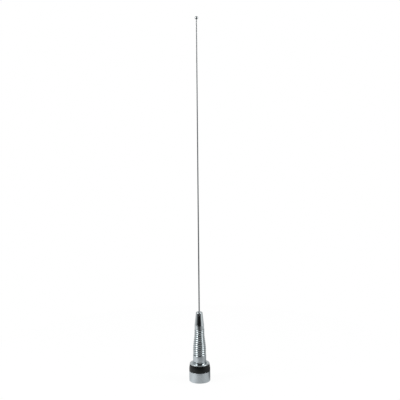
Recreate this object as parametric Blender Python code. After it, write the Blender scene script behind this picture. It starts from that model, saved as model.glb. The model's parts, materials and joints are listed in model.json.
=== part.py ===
"""Mobile radio antenna: a tapered whip on a conical shock spring, over a screw-on base.

Everything is turned about Z. The base's sealing gasket stands on z = 0 and the whip points up.
Run it with: blender --background --python part.py
"""

import math

import bmesh
import bpy
from mathutils import Matrix, Vector

MM = 0.001
FULL_TURN = 2 * math.pi

# Fits
SEAT_GAP = 0.3 * MM  # between two pieces that touch
TINY = 0.001 * MM  # points nearer than this are one point

# Finishes: colour, metallic, roughness
CHROME = ((0.72, 0.74, 0.77), 1.0, 0.12)
SATIN_CHROME = ((0.62, 0.64, 0.67), 1.0, 0.32)
STEEL = ((0.55, 0.56, 0.57), 1.0, 0.3)
BRASS = ((0.75, 0.58, 0.28), 1.0, 0.3)
COPPER = ((0.8, 0.45, 0.3), 1.0, 0.35)
TINNED_COPPER = ((0.66, 0.64, 0.6), 1.0, 0.4)
BLACK_RUBBER = ((0.03, 0.03, 0.03), 0.0, 0.7)
BLACK_PLASTIC = ((0.02, 0.022, 0.022), 0.0, 0.3)
WHITE_PLASTIC = ((0.85, 0.85, 0.82), 0.0, 0.5)
LAMINATE = ((0.12, 0.3, 0.14), 0.0, 0.5)
CERAMIC = ((0.6, 0.42, 0.2), 0.0, 0.5)

# Skirt, the chromed lower shell
SKIRT_RADIUS = 18.25 * MM
SKIRT_HEIGHT = 18.0 * MM
SKIRT_WALL = 2.25 * MM
SKIRT_RIM_WALL = 1.05 * MM  # thin rim round the gasket
SKIRT_LIP_THICKNESS = 1.0 * MM  # inner lip above the gasket
SKIRT_EDGE = 0.9 * MM

# Gasket under the skirt
GASKET_PROUD = 0.4 * MM
GASKET_HEIGHT = 2.3 * MM
GASKET_WIDTH = 1.9 * MM
GASKET_EDGE = 0.3 * MM

# Ring with the 1 1/8 inch thread of the vehicle mount
THREAD_RING_WALL = 2.2 * MM  # leaves the thread its minor radius of 13.5 mm
SOCKET_LIP_CLEARANCE = 1.1 * MM
THREAD_RING_HEIGHT = 6.5 * MM
THREAD_RING_CHAMFER = 0.7 * MM

# Black insulating housing with the matching coil inside
HOUSING_BAND_HEIGHT = 12.2 * MM
HOUSING_STRAIGHT = 5.0 * MM  # height of the band before it tapers
HOUSING_TAPER = 1.1 * MM  # how much smaller the band is at its top
HOUSING_WALL = 1.5 * MM
HOUSING_FLOOR = 2.2 * MM
HOUSING_LEDGE_HEIGHT = 1.4 * MM
HOUSING_LEDGE_WIDTH = 1.0 * MM
HOUSING_EDGE = 0.5 * MM

# Chromed cap with its wrench hexagon
CAP_RIM_HEIGHT = 0.9 * MM
CAP_THICKNESS = 2.0 * MM
CAP_CHAMFER = 1.4 * MM
CAP_PLUG_DEPTH = 3.0 * MM
HEX_LEDGE = 2.95 * MM  # flat of the cap round the hexagon; leaves it 23.8 mm across its flats
HEX_HEIGHT = 2.4 * MM
HEX_CORNER = 0.9 * MM  # how far its corners stand out past its flats
HEX_CONE = 0.7 * MM  # how much smaller its corners are turned at its top

# O-ring round the cap's plug
O_RING_SECTION = 0.65 * MM
O_RING_GROOVE_GAP = 0.35 * MM

# Threaded stud that carries the spring, with its nut and solder lug
STUD_RADIUS = 3.9 * MM
STUD_BELOW_NUT = 0.9 * MM
STUD_CHAMFER = 0.6 * MM
STUD_SHORT_OF_BORE = 0.7 * MM
LUG_THICKNESS = 0.6 * MM
LUG_RADIUS = 6.8 * MM
LUG_TAIL_PAST_LEAD = 1.3 * MM
LUG_TAIL_HALF_WIDTH = 1.6 * MM
NUT_ACROSS_FLATS = 12.7 * MM
NUT_HEIGHT = 3.4 * MM

# Circuit board and the parts on it
BOARD_THICKNESS = 1.2 * MM
FORMER_BARREL_HEIGHT = 5.0 * MM
FORMER_FLANGE_THICKNESS = 0.8 * MM
FORMER_BARREL_WALL = 1.0 * MM
FORMER_FROM_RIM = 6.5 * MM
SERIES_WIRE_RADIUS = 0.4 * MM
SERIES_TURNS = 3.5
SHUNT_WIRE_RADIUS = 0.35 * MM
SHUNT_COIL_RADIUS = 1.8 * MM
SHUNT_TURNS = 4
SHUNT_PITCH = 1.1 * MM
SHUNT_SHARE = 0.75  # share of the board's radius at which the coil lies
SHUNT_OUTWARD = 0.075 * MM  # and this much further out
CAPACITOR_LENGTH = 6.0 * MM
CAPACITOR_WIDTH = 2.6 * MM
CAPACITOR_HEIGHT = 5.0 * MM
CAPACITOR_FROM_RIM = 3.2 * MM
CAPACITOR_EDGE = 0.5 * MM

# Sprung centre contact
PIN_RADIUS = 1.4 * MM
PIN_REACH = 1.7 * MM  # how far the pin stands out of its bushing
PIN_COLLAR_RADIUS = 2.0 * MM
PIN_COLLAR_HEIGHT = 1.2 * MM
PIN_STEM_RADIUS = 0.9 * MM
PIN_STEM_HEIGHT = 1.9 * MM
PIN_NOSE = 0.5 * MM
BUSHING_WALL = 0.9 * MM
BUSHING_LIP_THICKNESS = 0.7 * MM
BUSHING_BELOW_FLOOR = 0.8 * MM
BUSHING_CAVITY_HEIGHT = 7.9 * MM
BUSHING_CROWN_THICKNESS = 1.0 * MM
BUSHING_FLANGE_RADIUS = 5.0 * MM
CONTACT_WIRE_RADIUS = 0.2 * MM
CONTACT_COIL_RADIUS = 1.45 * MM
CONTACT_TURNS = 5.5

# Shock spring and the two ferrules that it screws on
WIRE_RADIUS = 1.6 * MM
COIL_GAP = 0.3 * MM
COIL_TURNS = 13.7
COIL_START = 0.6  # where the wire begins, in turns round from +X
COIL_TIP = 0.9 * MM  # how much of the wire is left where its ends are ground flat
COIL_FOOT_RADIUS = 11.3 * MM
COIL_HEAD_RADIUS = 8.7 * MM
TAPER_BELOW_BAND = 5.5 * MM  # the taper starts above the lower spigot and ends this far below the band
COIL_STEPS = 16  # facets in one turn
GROOVE_DEPTH = 0.7 * MM
GROOVE_STEPS = 4  # facets in one pitch of a spigot's groove
SEATED_TURNS = 2.75
COLLAR_RADIUS = 11.4 * MM
COLLAR_HEIGHT = 11.5 * MM
COLLAR_EDGE = 0.35 * MM
BAND_RADIUS = 8.15 * MM
BAND_HEIGHT = 8.0 * MM
BAND_EDGE = 0.3 * MM
CONE_STEP = 0.15 * MM
CONE_HEIGHT = 21.8 * MM
NECK_RADIUS = 5.7 * MM
CROWN_HEIGHT = 0.6 * MM
CROWN_RADIUS = 5.2 * MM
STUD_BORE_ABOVE_COLLAR = 0.6 * MM

# Copper braid that joins the ferrules inside the spring
BRAID_RADIUS = 1.8 * MM
BRAID_SWAY = 2.2 * MM  # how far its slack bows out
BRAID_STEPS = 24
SLEEVE_WALL = 0.7 * MM
SLEEVE_LENGTH = 8.2 * MM
SLEEVE_DEPTH = 5.4 * MM  # how far it goes into its ferrule

# Whip
WHIP_FOOT_RADIUS = 1.27 * MM
WHIP_TIP_RADIUS = 0.9 * MM
WHIP_LENGTH = 534.6 * MM
WHIP_SOCKET_DEPTH = 20.0 * MM
WHIP_CHAMFER = 0.3 * MM
BALL_RADIUS = 2.85 * MM
BALL_BORE_DEPTH = 3.6 * MM
SET_SCREW_RADIUS = 1.9 * MM
SET_SCREW_DROP = 3.7 * MM  # below the ferrule's top
SET_SCREW_SINK = 0.45 * MM  # below the ferrule's surface
SET_SCREW_KEY_ACROSS = 1.9 * MM
SET_SCREW_KEY_DEPTH = 1.8 * MM
SET_SCREW_CHAMFER = 0.25 * MM
SET_SCREW_SIDES = {"front": -0.25, "rear": 0.25}  # in turns round from +X

# Facets
SHELL_SIDES = 36
INNER_SIDES = 24
SMALL_SIDES = 16
WIRE_STEPS = 10  # facets in one turn of the small coils

# Heights that follow from the stack, bottom to top
SKIRT_BOTTOM = GASKET_PROUD
SKIRT_TOP = SKIRT_BOTTOM + SKIRT_HEIGHT
LIP_BOTTOM = GASKET_HEIGHT + SEAT_GAP
LIP_TOP = LIP_BOTTOM + SKIRT_LIP_THICKNESS
THREAD_RING_BOTTOM = LIP_TOP + SEAT_GAP
THREAD_RING_TOP = THREAD_RING_BOTTOM + THREAD_RING_HEIGHT
HOUSING_BOTTOM = THREAD_RING_TOP + SEAT_GAP
HOUSING_FLOOR_TOP = HOUSING_BOTTOM + HOUSING_FLOOR
HOUSING_LEDGE = HOUSING_FLOOR_TOP + HOUSING_LEDGE_HEIGHT
HOUSING_SHOULDER = SKIRT_TOP + SEAT_GAP
HOUSING_TOP = HOUSING_SHOULDER + HOUSING_BAND_HEIGHT
BOARD_BOTTOM = HOUSING_LEDGE + SEAT_GAP
BOARD_TOP = BOARD_BOTTOM + BOARD_THICKNESS
ON_BOARD = BOARD_TOP + SEAT_GAP
CAP_BOTTOM = HOUSING_TOP + SEAT_GAP
CAP_TOP = CAP_BOTTOM + CAP_THICKNESS
PLUG_BOTTOM = CAP_BOTTOM - CAP_PLUG_DEPTH
HEX_TOP = CAP_TOP + HEX_HEIGHT
LUG_TOP = PLUG_BOTTOM - SEAT_GAP
LUG_BOTTOM = LUG_TOP - LUG_THICKNESS
NUT_TOP = LUG_BOTTOM - SEAT_GAP
NUT_BOTTOM = NUT_TOP - NUT_HEIGHT
STUD_BOTTOM = NUT_BOTTOM - STUD_BELOW_NUT
COLLAR_BOTTOM = HEX_TOP + SEAT_GAP
COLLAR_TOP = COLLAR_BOTTOM + COLLAR_HEIGHT
STUD_BORE_TOP = COLLAR_TOP + STUD_BORE_ABOVE_COLLAR
STUD_TOP = STUD_BORE_TOP - STUD_SHORT_OF_BORE
COIL_PITCH = 2 * WIRE_RADIUS + COIL_GAP
COIL_BOTTOM = COLLAR_TOP + SEAT_GAP
COIL_FIRST = COIL_BOTTOM + COIL_TIP - WIRE_RADIUS
COIL_LAST = COIL_FIRST + COIL_TURNS * COIL_PITCH
COIL_TOP = COIL_LAST - WIRE_RADIUS + COIL_TIP
LOWER_SPIGOT_TOP = COLLAR_TOP + SEATED_TURNS * COIL_PITCH
BAND_BOTTOM = COIL_TOP + SEAT_GAP
BAND_TOP = BAND_BOTTOM + BAND_HEIGHT
UPPER_SPIGOT_BOTTOM = BAND_BOTTOM - SEATED_TURNS * COIL_PITCH
NECK_HEIGHT = BAND_TOP + CONE_HEIGHT
FERRULE_TOP = NECK_HEIGHT + CROWN_HEIGHT
WHIP_SOCKET_BOTTOM = FERRULE_TOP - WHIP_SOCKET_DEPTH
WHIP_BOTTOM = WHIP_SOCKET_BOTTOM + SEAT_GAP
WHIP_TOP = WHIP_BOTTOM + WHIP_LENGTH
SET_SCREW_HEIGHT = FERRULE_TOP - SET_SCREW_DROP

# Radii that follow from the fits
SKIRT_BORE = SKIRT_RADIUS - SKIRT_WALL
SPIGOT_RADIUS = SKIRT_BORE - SEAT_GAP
SOCKET_RADIUS = SPIGOT_RADIUS - THREAD_RING_WALL
LIP_RADIUS = SOCKET_RADIUS + SOCKET_LIP_CLEARANCE
GASKET_SEAT_RADIUS = SKIRT_RADIUS - SKIRT_RIM_WALL
CAVITY_RADIUS = SPIGOT_RADIUS - HOUSING_WALL
HOUSING_TOP_RADIUS = SKIRT_RADIUS - HOUSING_TAPER
HEX_FOOT_RADIUS = HOUSING_TOP_RADIUS - CAP_CHAMFER - HEX_LEDGE
HEX_CROWN_RADIUS = HEX_FOOT_RADIUS - HEX_CONE
HEX_ACROSS_FLATS = 2 * (HEX_FOOT_RADIUS - HEX_CORNER)
PLUG_RADIUS = CAVITY_RADIUS - SEAT_GAP
FORMER_FLANGE_RADIUS = PLUG_RADIUS - FORMER_FROM_RIM
SHUNT_OFFSET = SHUNT_SHARE * PLUG_RADIUS + SHUNT_OUTWARD
CAPACITOR_OFFSET = PLUG_RADIUS - CAPACITOR_FROM_RIM
STUD_CLEARANCE_RADIUS = STUD_RADIUS + SEAT_GAP
PIN_BORE = PIN_RADIUS + SEAT_GAP
BUSHING_BORE = PIN_COLLAR_RADIUS + SEAT_GAP
BUSHING_RADIUS = BUSHING_BORE + BUSHING_WALL
BUSHING_HOLE = BUSHING_RADIUS + SEAT_GAP
BARREL_RADIUS = BUSHING_HOLE + FORMER_BARREL_WALL
SERIES_COIL_RADIUS = BARREL_RADIUS + SEAT_GAP + SERIES_WIRE_RADIUS
NUT_CORNER_RADIUS = NUT_ACROSS_FLATS / math.sqrt(3)
LEAD_RADIUS = max(FORMER_FLANGE_RADIUS, NUT_CORNER_RADIUS) + SEAT_GAP + SERIES_WIRE_RADIUS
LUG_TAIL_REACH = LEAD_RADIUS + LUG_TAIL_PAST_LEAD
SLEEVE_BORE = BRAID_RADIUS + SEAT_GAP
SLEEVE_RADIUS = SLEEVE_BORE + SLEEVE_WALL
WHIP_BORE = WHIP_FOOT_RADIUS + SEAT_GAP

# Joint axes: the spring's free coils bend in two halves, fore and aft below and to the sides above
FREE_COILS = UPPER_SPIGOT_BOTTOM - LOWER_SPIGOT_TOP
FORE_AFT_PIVOT = LOWER_SPIGOT_TOP + FREE_COILS / 4
SIDE_PIVOT = UPPER_SPIGOT_BOTTOM - FREE_COILS / 4
CONTACT_SLIDE_FOOT = HOUSING_BOTTOM - BUSHING_BELOW_FLOOR - PIN_REACH


def paint(name, colour, metallic, roughness):
    """A Principled material for one piece."""
    material = bpy.data.materials.new(name)
    material.use_nodes = True
    shader = material.node_tree.nodes["Principled BSDF"]
    shader.inputs["Base Color"].default_value = (*colour, 1.0)
    shader.inputs["Metallic"].default_value = metallic
    shader.inputs["Roughness"].default_value = roughness
    material.diffuse_color = (*colour, 1.0)
    return material


def add(name, mesh, finish=None):
    """Puts a mesh in the scene as one named, smooth-shaded object; a tool for cutting has no finish."""
    if finish:
        mesh.materials.append(paint(name, *finish))
    mesh.shade_smooth()
    mesh.set_sharp_from_angle(angle=math.radians(35))
    made = bpy.data.objects.new(name, mesh)
    bpy.context.scene.collection.objects.link(made)
    return made


def mesh_of(name, bm):
    """Turns bmesh work into mesh data with every face pointing out."""
    bmesh.ops.recalc_face_normals(bm, faces=bm.faces)
    if bm.calc_volume(signed=True) < 0:
        bmesh.ops.reverse_faces(bm, faces=bm.faces)
    mesh = bpy.data.meshes.new(name)
    bm.to_mesh(mesh)
    bm.free()
    return mesh


def eased(points, steps=2):
    """An outline of (radius, height) or (radius, height, fillet) points with its fillets drawn as arcs."""
    drawn = []
    for index, (across, up, *fillet) in enumerate(points):
        corner = Vector((across, up))
        if not fillet:
            drawn.append(corner)
            continue
        before = Vector(points[index - 1][:2]) - corner
        after = Vector(points[(index + 1) % len(points)][:2]) - corner
        half_angle = before.angle(after) / 2
        reach = min(fillet[0] / math.tan(half_angle), 0.45 * before.length, 0.45 * after.length)
        radius = reach * math.tan(half_angle)
        middle = (before.normalized() + after.normalized()).normalized()
        centre = corner + middle * (radius / math.sin(half_angle))
        first = corner + before.normalized() * reach - centre
        last = corner + after.normalized() * reach - centre
        for step in range(steps + 1):
            drawn.append(centre + first.lerp(last, step / steps).normalized() * radius)
    return drawn


def spun(outline, sides):
    """A bmesh turned about Z from an outline of (radius, height) points; on the axis it closes by itself."""
    bm = bmesh.new()
    points = [bm.verts.new((max(point[0], 0.0), 0.0, point[1])) for point in outline]
    edges = []
    for first, second in zip(points, points[1:] + points[:1]):
        if max(first.co.x, second.co.x) > TINY:
            edges.append(bm.edges.new((first, second)))
    bmesh.ops.spin(
        bm, geom=points + edges, cent=(0, 0, 0), axis=(0, 0, 1), angle=FULL_TURN, steps=sides
    )
    bmesh.ops.remove_doubles(bm, verts=bm.verts, dist=TINY)
    return bm


def turned(name, outline, finish=None, sides=SHELL_SIDES):
    """A named solid turned about Z."""
    return add(name, mesh_of(name, spun(eased(outline), sides)), finish)


def hexagon(name, across_flats, bottom, top, finish=None):
    """A hexagonal prism with flats facing forward and back."""
    corner = across_flats / math.sqrt(3)
    bm = spun([Vector(point) for point in ((0, bottom), (corner, bottom), (corner, top), (0, top))], 6)
    return add(name, mesh_of(name, bm), finish)


def hidden(tool):
    """Marks an object as a tool that shapes others and is no part itself."""
    tool.hide_render = True
    tool.display_type = "WIRE"
    return tool


def boolean(target, tool, operation="DIFFERENCE"):
    """Cuts, joins or intersects target with a hidden tool."""
    step = target.modifiers.new(tool.name, "BOOLEAN")
    step.object = hidden(tool)
    step.operation = operation
    return target


def wire(name, path, radius, finish, sides=6):
    """A round wire along the path, closed at both ends."""
    bm = bmesh.new()
    rings = []
    ahead = path[1] - path[0]
    across = ahead.orthogonal().normalized()
    for before, point, after in zip(path[:1] + path, path, path[1:] + path[-1:]):
        turn = ahead.rotation_difference(after - before)
        ahead = after - before
        across.rotate(turn)
        up = ahead.cross(across).normalized()
        corners = [FULL_TURN * side / sides for side in range(sides)]
        spots = [point + radius * (math.cos(corner) * across + math.sin(corner) * up) for corner in corners]
        rings.append([bm.verts.new(spot) for spot in spots])
    for ring, following in zip(rings, rings[1:]):
        for side in range(sides):
            other = (side + 1) % sides
            bm.faces.new((ring[side], ring[other], following[other], following[side]))
    bm.faces.new(rings[0])
    bm.faces.new(rings[-1])
    return add(name, mesh_of(name, bm), finish)


def bore_through(target, radius, bottom, top):
    """Drills target along Z from below its bottom to above its top."""
    outline = [(0, bottom - radius), (radius, bottom - radius), (radius, top + radius), (0, top + radius)]
    return boolean(target, turned(target.name + "_bore", outline, sides=INNER_SIDES))


def around(radius, turn, height):
    """The point at this radius and height, a share of a turn round from +X."""
    return Vector((radius * math.cos(turn * FULL_TURN), radius * math.sin(turn * FULL_TURN), height))


def bent(points, radius, steps=3):
    """A path through the points with each inner corner rounded."""
    path = [points[0]]
    for before, corner, after in zip(points, points[1:], points[2:]):
        reach = min(radius, (before - corner).length / 2, (after - corner).length / 2)
        start = corner + (before - corner).normalized() * reach
        end = corner + (after - corner).normalized() * reach
        for step in range(steps + 1):
            share = step / steps
            path.append(start.lerp(corner, share).lerp(corner.lerp(end, share), share))
    path.append(points[-1])
    return path


def pivot(name, height, below, names):
    """An empty on a joint's axis that carries the named pieces, itself carried by the pivot below."""
    empty = bpy.data.objects.new(name, None)
    bpy.context.scene.collection.objects.link(empty)
    empty.parent = below
    empty.location.z = height - (below.location.z if below else 0.0)
    for piece in (bpy.data.objects[piece] for piece in names):
        piece.data.transform(Matrix.Translation((0, 0, -height)))
        piece.parent = empty
    return empty


def coil_radius(height):
    """Mean radius of the shock spring at this height: its taper eases in and out between straight ends."""
    taper_top = BAND_BOTTOM - TAPER_BELOW_BAND
    share = min(max((height - LOWER_SPIGOT_TOP) / (taper_top - LOWER_SPIGOT_TOP), 0.0), 1.0)
    eased_share = share * share * (3 - 2 * share)
    return COIL_FOOT_RADIUS + (COIL_HEAD_RADIUS - COIL_FOOT_RADIUS) * eased_share - WIRE_RADIUS


def groove_radius(turn, height):
    """Radius of a ferrule's spigot, with a round groove that the spring's wire lies in."""
    phase = FULL_TURN * ((height - COIL_FIRST) / COIL_PITCH - (turn - COIL_START))
    ridge = GROOVE_DEPTH * (1 - math.cos(phase)) / 2
    return coil_radius(height) - WIRE_RADIUS - SEAT_GAP + ridge


def spigot_outline(start, end):
    """Heights up or down a spigot, each with the groove's mean radius."""
    steps = round(SEATED_TURNS * GROOVE_STEPS)
    heights = [start + (end - start) * step / steps for step in range(steps + 1)]
    return [(groove_radius(0.0, height), height) for height in heights]


def shape_spigot(bm, bottom, top, inner_radius, outer_radius):
    """Gives the points on a spigot's outside the groove's radius at their own angle."""
    for vert in bm.verts:
        flat = Vector((vert.co.x, vert.co.y))
        if not inner_radius < flat.length < outer_radius or not bottom - TINY < vert.co.z < top + TINY:
            continue
        turn = math.atan2(flat.y, flat.x) / FULL_TURN
        vert.co.x, vert.co.y = flat.normalized() * groove_radius(turn, vert.co.z)


def make_skirt():
    outline = [
        (SKIRT_RADIUS, SKIRT_BOTTOM, SKIRT_EDGE),
        (SKIRT_RADIUS, SKIRT_TOP, SKIRT_EDGE / 4),
        (SKIRT_BORE, SKIRT_TOP),
        (SKIRT_BORE, LIP_TOP),
        (LIP_RADIUS, LIP_TOP),
        (LIP_RADIUS, LIP_BOTTOM),
        (GASKET_SEAT_RADIUS, LIP_BOTTOM),
        (GASKET_SEAT_RADIUS, SKIRT_BOTTOM),
    ]
    turned("skirt", outline, SATIN_CHROME)


def make_base_gasket():
    outer = GASKET_SEAT_RADIUS - SEAT_GAP
    inner = outer - GASKET_WIDTH
    outline = [
        (outer, 0.0, GASKET_EDGE),
        (outer, GASKET_HEIGHT),
        (inner, GASKET_HEIGHT),
        (inner, 0.0, GASKET_EDGE),
    ]
    bm = spun(eased(outline, steps=1), SHELL_SIDES)
    add("base_gasket", mesh_of("base_gasket", bm), BLACK_RUBBER)


def make_thread_ring():
    outer = SKIRT_BORE - SEAT_GAP
    outline = [
        (outer, THREAD_RING_BOTTOM),
        (outer, THREAD_RING_TOP),
        (SOCKET_RADIUS + THREAD_RING_CHAMFER, THREAD_RING_TOP),
        (SOCKET_RADIUS, THREAD_RING_TOP - THREAD_RING_CHAMFER),
        (SOCKET_RADIUS, THREAD_RING_BOTTOM + THREAD_RING_CHAMFER),
        (SOCKET_RADIUS + THREAD_RING_CHAMFER, THREAD_RING_BOTTOM),
    ]
    turned("thread_ring", outline, BRASS)


def make_coil_housing():
    outline = [
        (SPIGOT_RADIUS, HOUSING_BOTTOM),
        (SPIGOT_RADIUS, HOUSING_SHOULDER),
        (SKIRT_RADIUS, HOUSING_SHOULDER, HOUSING_EDGE / 2),
        (SKIRT_RADIUS, HOUSING_SHOULDER + HOUSING_STRAIGHT),
        (HOUSING_TOP_RADIUS, HOUSING_TOP, HOUSING_EDGE),
        (CAVITY_RADIUS, HOUSING_TOP),
        (CAVITY_RADIUS, HOUSING_LEDGE),
        (CAVITY_RADIUS - HOUSING_LEDGE_WIDTH, HOUSING_LEDGE),
        (CAVITY_RADIUS - HOUSING_LEDGE_WIDTH, HOUSING_FLOOR_TOP),
        (BUSHING_HOLE, HOUSING_FLOOR_TOP),
        (BUSHING_HOLE, HOUSING_BOTTOM),
    ]
    turned("coil_housing", outline, BLACK_PLASTIC)


def make_top_cap():
    """A chamfered disc with a wrench hexagon on it and a plug with an O-ring groove below."""
    groove_middle = (PLUG_BOTTOM + CAP_BOTTOM) / 2
    groove_half = O_RING_SECTION + O_RING_GROOVE_GAP
    groove_root = PLUG_RADIUS - 2 * O_RING_SECTION - O_RING_GROOVE_GAP
    outline = [
        (0, PLUG_BOTTOM),
        (PLUG_RADIUS, PLUG_BOTTOM),
        (PLUG_RADIUS, groove_middle - groove_half),
        (groove_root, groove_middle - groove_half),
        (groove_root, groove_middle + groove_half),
        (PLUG_RADIUS, groove_middle + groove_half),
        (PLUG_RADIUS, CAP_BOTTOM),
        (HOUSING_TOP_RADIUS, CAP_BOTTOM),
        (HOUSING_TOP_RADIUS, CAP_BOTTOM + CAP_RIM_HEIGHT, CAP_RIM_HEIGHT / 2),
        (HOUSING_TOP_RADIUS - CAP_CHAMFER, CAP_TOP, CAP_CHAMFER / 2),
        (0, CAP_TOP),
    ]
    cap = turned("top_cap", outline, CHROME)
    wrench_hex = hexagon("wrench_hex", HEX_ACROSS_FLATS, CAP_TOP - CAP_THICKNESS / 2, HEX_TOP)
    cone_outline = [
        (0, CAP_BOTTOM),
        (HEX_FOOT_RADIUS, CAP_BOTTOM),
        (HEX_FOOT_RADIUS, CAP_TOP),
        (HEX_CROWN_RADIUS, HEX_TOP),
        (0, HEX_TOP),
    ]
    boolean(wrench_hex, turned("hex_cone", cone_outline), "INTERSECT")
    boolean(cap, wrench_hex, "UNION")
    bore_through(cap, STUD_CLEARANCE_RADIUS, PLUG_BOTTOM, HEX_TOP)


def make_cap_o_ring():
    middle = Vector((PLUG_RADIUS - O_RING_SECTION, (PLUG_BOTTOM + CAP_BOTTOM) / 2))
    steps = 6
    corners = [FULL_TURN * step / steps for step in range(steps)]
    outline = [middle + O_RING_SECTION * Vector((math.cos(corner), math.sin(corner))) for corner in corners]
    add("cap_o_ring", mesh_of("cap_o_ring", spun(outline, INNER_SIDES)), BLACK_RUBBER)


def make_base_stud():
    outline = [
        (0, STUD_BOTTOM),
        (STUD_RADIUS - STUD_CHAMFER, STUD_BOTTOM),
        (STUD_RADIUS, STUD_BOTTOM + STUD_CHAMFER),
        (STUD_RADIUS, STUD_TOP - STUD_CHAMFER),
        (STUD_RADIUS - STUD_CHAMFER, STUD_TOP),
        (0, STUD_TOP),
    ]
    turned("base_stud", outline, STEEL, INNER_SIDES)


def make_stud_lug():
    """A flat ring under the cap's plug with a tail that the series coil is soldered to."""
    ring = [
        (STUD_CLEARANCE_RADIUS, LUG_BOTTOM),
        (LUG_RADIUS, LUG_BOTTOM),
        (LUG_RADIUS, LUG_TOP),
        (STUD_CLEARANCE_RADIUS, LUG_TOP),
    ]
    lug = turned("stud_lug", ring, TINNED_COPPER, INNER_SIDES)
    root = (STUD_CLEARANCE_RADIUS + LUG_RADIUS) / 2
    bm = bmesh.new()
    length = LUG_TAIL_REACH - root
    place = Matrix.Translation((-(root + length / 2), 0, (LUG_BOTTOM + LUG_TOP) / 2))
    size = Matrix.Diagonal((length, 2 * LUG_TAIL_HALF_WIDTH, LUG_THICKNESS, 1))
    bmesh.ops.create_cube(bm, size=1, matrix=place @ size)
    boolean(lug, add("lug_tail", mesh_of("lug_tail", bm)), "UNION")


def make_stud_nut():
    nut = hexagon("stud_nut", NUT_ACROSS_FLATS, NUT_BOTTOM, NUT_TOP, BRASS)
    nut.rotation_euler.z = FULL_TURN / 12
    bore_through(nut, STUD_CLEARANCE_RADIUS, NUT_BOTTOM, NUT_TOP)


def make_matching_board():
    outline = [
        (BUSHING_HOLE, BOARD_BOTTOM),
        (PLUG_RADIUS, BOARD_BOTTOM),
        (PLUG_RADIUS, BOARD_TOP),
        (BUSHING_HOLE, BOARD_TOP),
    ]
    turned("matching_board", outline, LAMINATE, INNER_SIDES)


def make_coil_former():
    flange_top = ON_BOARD + FORMER_FLANGE_THICKNESS
    barrel_top = flange_top + FORMER_BARREL_HEIGHT
    former_top = barrel_top + FORMER_FLANGE_THICKNESS
    outline = [
        (BUSHING_HOLE, ON_BOARD),
        (FORMER_FLANGE_RADIUS, ON_BOARD),
        (FORMER_FLANGE_RADIUS, flange_top),
        (BARREL_RADIUS, flange_top),
        (BARREL_RADIUS, barrel_top),
        (FORMER_FLANGE_RADIUS, barrel_top),
        (FORMER_FLANGE_RADIUS, former_top),
        (BUSHING_HOLE, former_top),
    ]
    turned("coil_former", outline, WHITE_PLASTIC, INNER_SIDES)


def make_series_coil():
    """The matching coil, with one lead down to the board and one up to the stud's lug."""
    flange_top = ON_BOARD + FORMER_FLANGE_THICKNESS
    margin = SEAT_GAP + SERIES_WIRE_RADIUS
    first = flange_top + margin
    last = flange_top + FORMER_BARREL_HEIGHT - margin
    steps = round(SERIES_TURNS * WIRE_STEPS)
    turns = [
        around(SERIES_COIL_RADIUS, SERIES_TURNS * step / steps, first + (last - first) * step / steps)
        for step in range(steps + 1)
    ]
    foot = [around(LEAD_RADIUS, 0, ON_BOARD), around(LEAD_RADIUS, 0, first), turns[0]]
    end_turn = SERIES_TURNS % 1
    lead_top = around(LEAD_RADIUS, end_turn, LUG_BOTTOM - SEAT_GAP)
    head = [turns[-1], around(LEAD_RADIUS, end_turn, last), lead_top]
    path = bent(foot, 2 * SERIES_WIRE_RADIUS)[:-1] + turns + bent(head, 2 * SERIES_WIRE_RADIUS)[1:]
    wire("series_coil", path, SERIES_WIRE_RADIUS, COPPER)


def make_shunt_coil():
    """A small air coil that lies along the board on two legs."""
    middle_height = ON_BOARD + SHUNT_COIL_RADIUS + 2 * SHUNT_WIRE_RADIUS
    half_length = SHUNT_TURNS * SHUNT_PITCH / 2
    steps = SHUNT_TURNS * WIRE_STEPS
    turns = []
    for step in range(steps + 1):
        angle = FULL_TURN * SHUNT_TURNS * step / steps
        along = half_length * (2 * step / steps - 1)
        across = SHUNT_OFFSET + SHUNT_COIL_RADIUS * math.cos(angle)
        turns.append(Vector((along, across, middle_height + SHUNT_COIL_RADIUS * math.sin(angle))))
    left_foot = Vector((-half_length, turns[0].y, ON_BOARD))
    right_foot = Vector((half_length, turns[-1].y, ON_BOARD))
    wire("shunt_coil", [left_foot] + turns + [right_foot], SHUNT_WIRE_RADIUS, COPPER)


def make_chip_capacitor():
    bm = bmesh.new()
    middle = Matrix.Translation((0, -CAPACITOR_OFFSET, ON_BOARD + CAPACITOR_HEIGHT / 2))
    size = Matrix.Diagonal((CAPACITOR_LENGTH, CAPACITOR_WIDTH, CAPACITOR_HEIGHT, 1))
    bmesh.ops.create_cube(bm, size=1, matrix=middle @ size)
    bmesh.ops.bevel(bm, geom=bm.edges, offset=CAPACITOR_EDGE, segments=1, affect="EDGES")
    add("chip_capacitor", mesh_of("chip_capacitor", bm), CERAMIC)


def make_contact_bushing():
    """A blind tube through the housing's floor; its lower lip keeps the pin in."""
    bottom = HOUSING_BOTTOM - BUSHING_BELOW_FLOOR
    cavity_bottom = bottom + BUSHING_LIP_THICKNESS
    cavity_top = cavity_bottom + BUSHING_CAVITY_HEIGHT
    flange_bottom = HOUSING_FLOOR_TOP + SEAT_GAP
    flange_top = BOARD_BOTTOM - SEAT_GAP
    outline = [
        (PIN_BORE, bottom),
        (BUSHING_RADIUS, bottom),
        (BUSHING_RADIUS, flange_bottom),
        (BUSHING_FLANGE_RADIUS, flange_bottom),
        (BUSHING_FLANGE_RADIUS, flange_top),
        (BUSHING_RADIUS, flange_top),
        (BUSHING_RADIUS, cavity_top + BUSHING_CROWN_THICKNESS),
        (0, cavity_top + BUSHING_CROWN_THICKNESS),
        (0, cavity_top),
        (BUSHING_BORE, cavity_top),
        (BUSHING_BORE, cavity_bottom),
        (PIN_BORE, cavity_bottom),
    ]
    turned("contact_bushing", outline, BRASS, INNER_SIDES)


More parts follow.
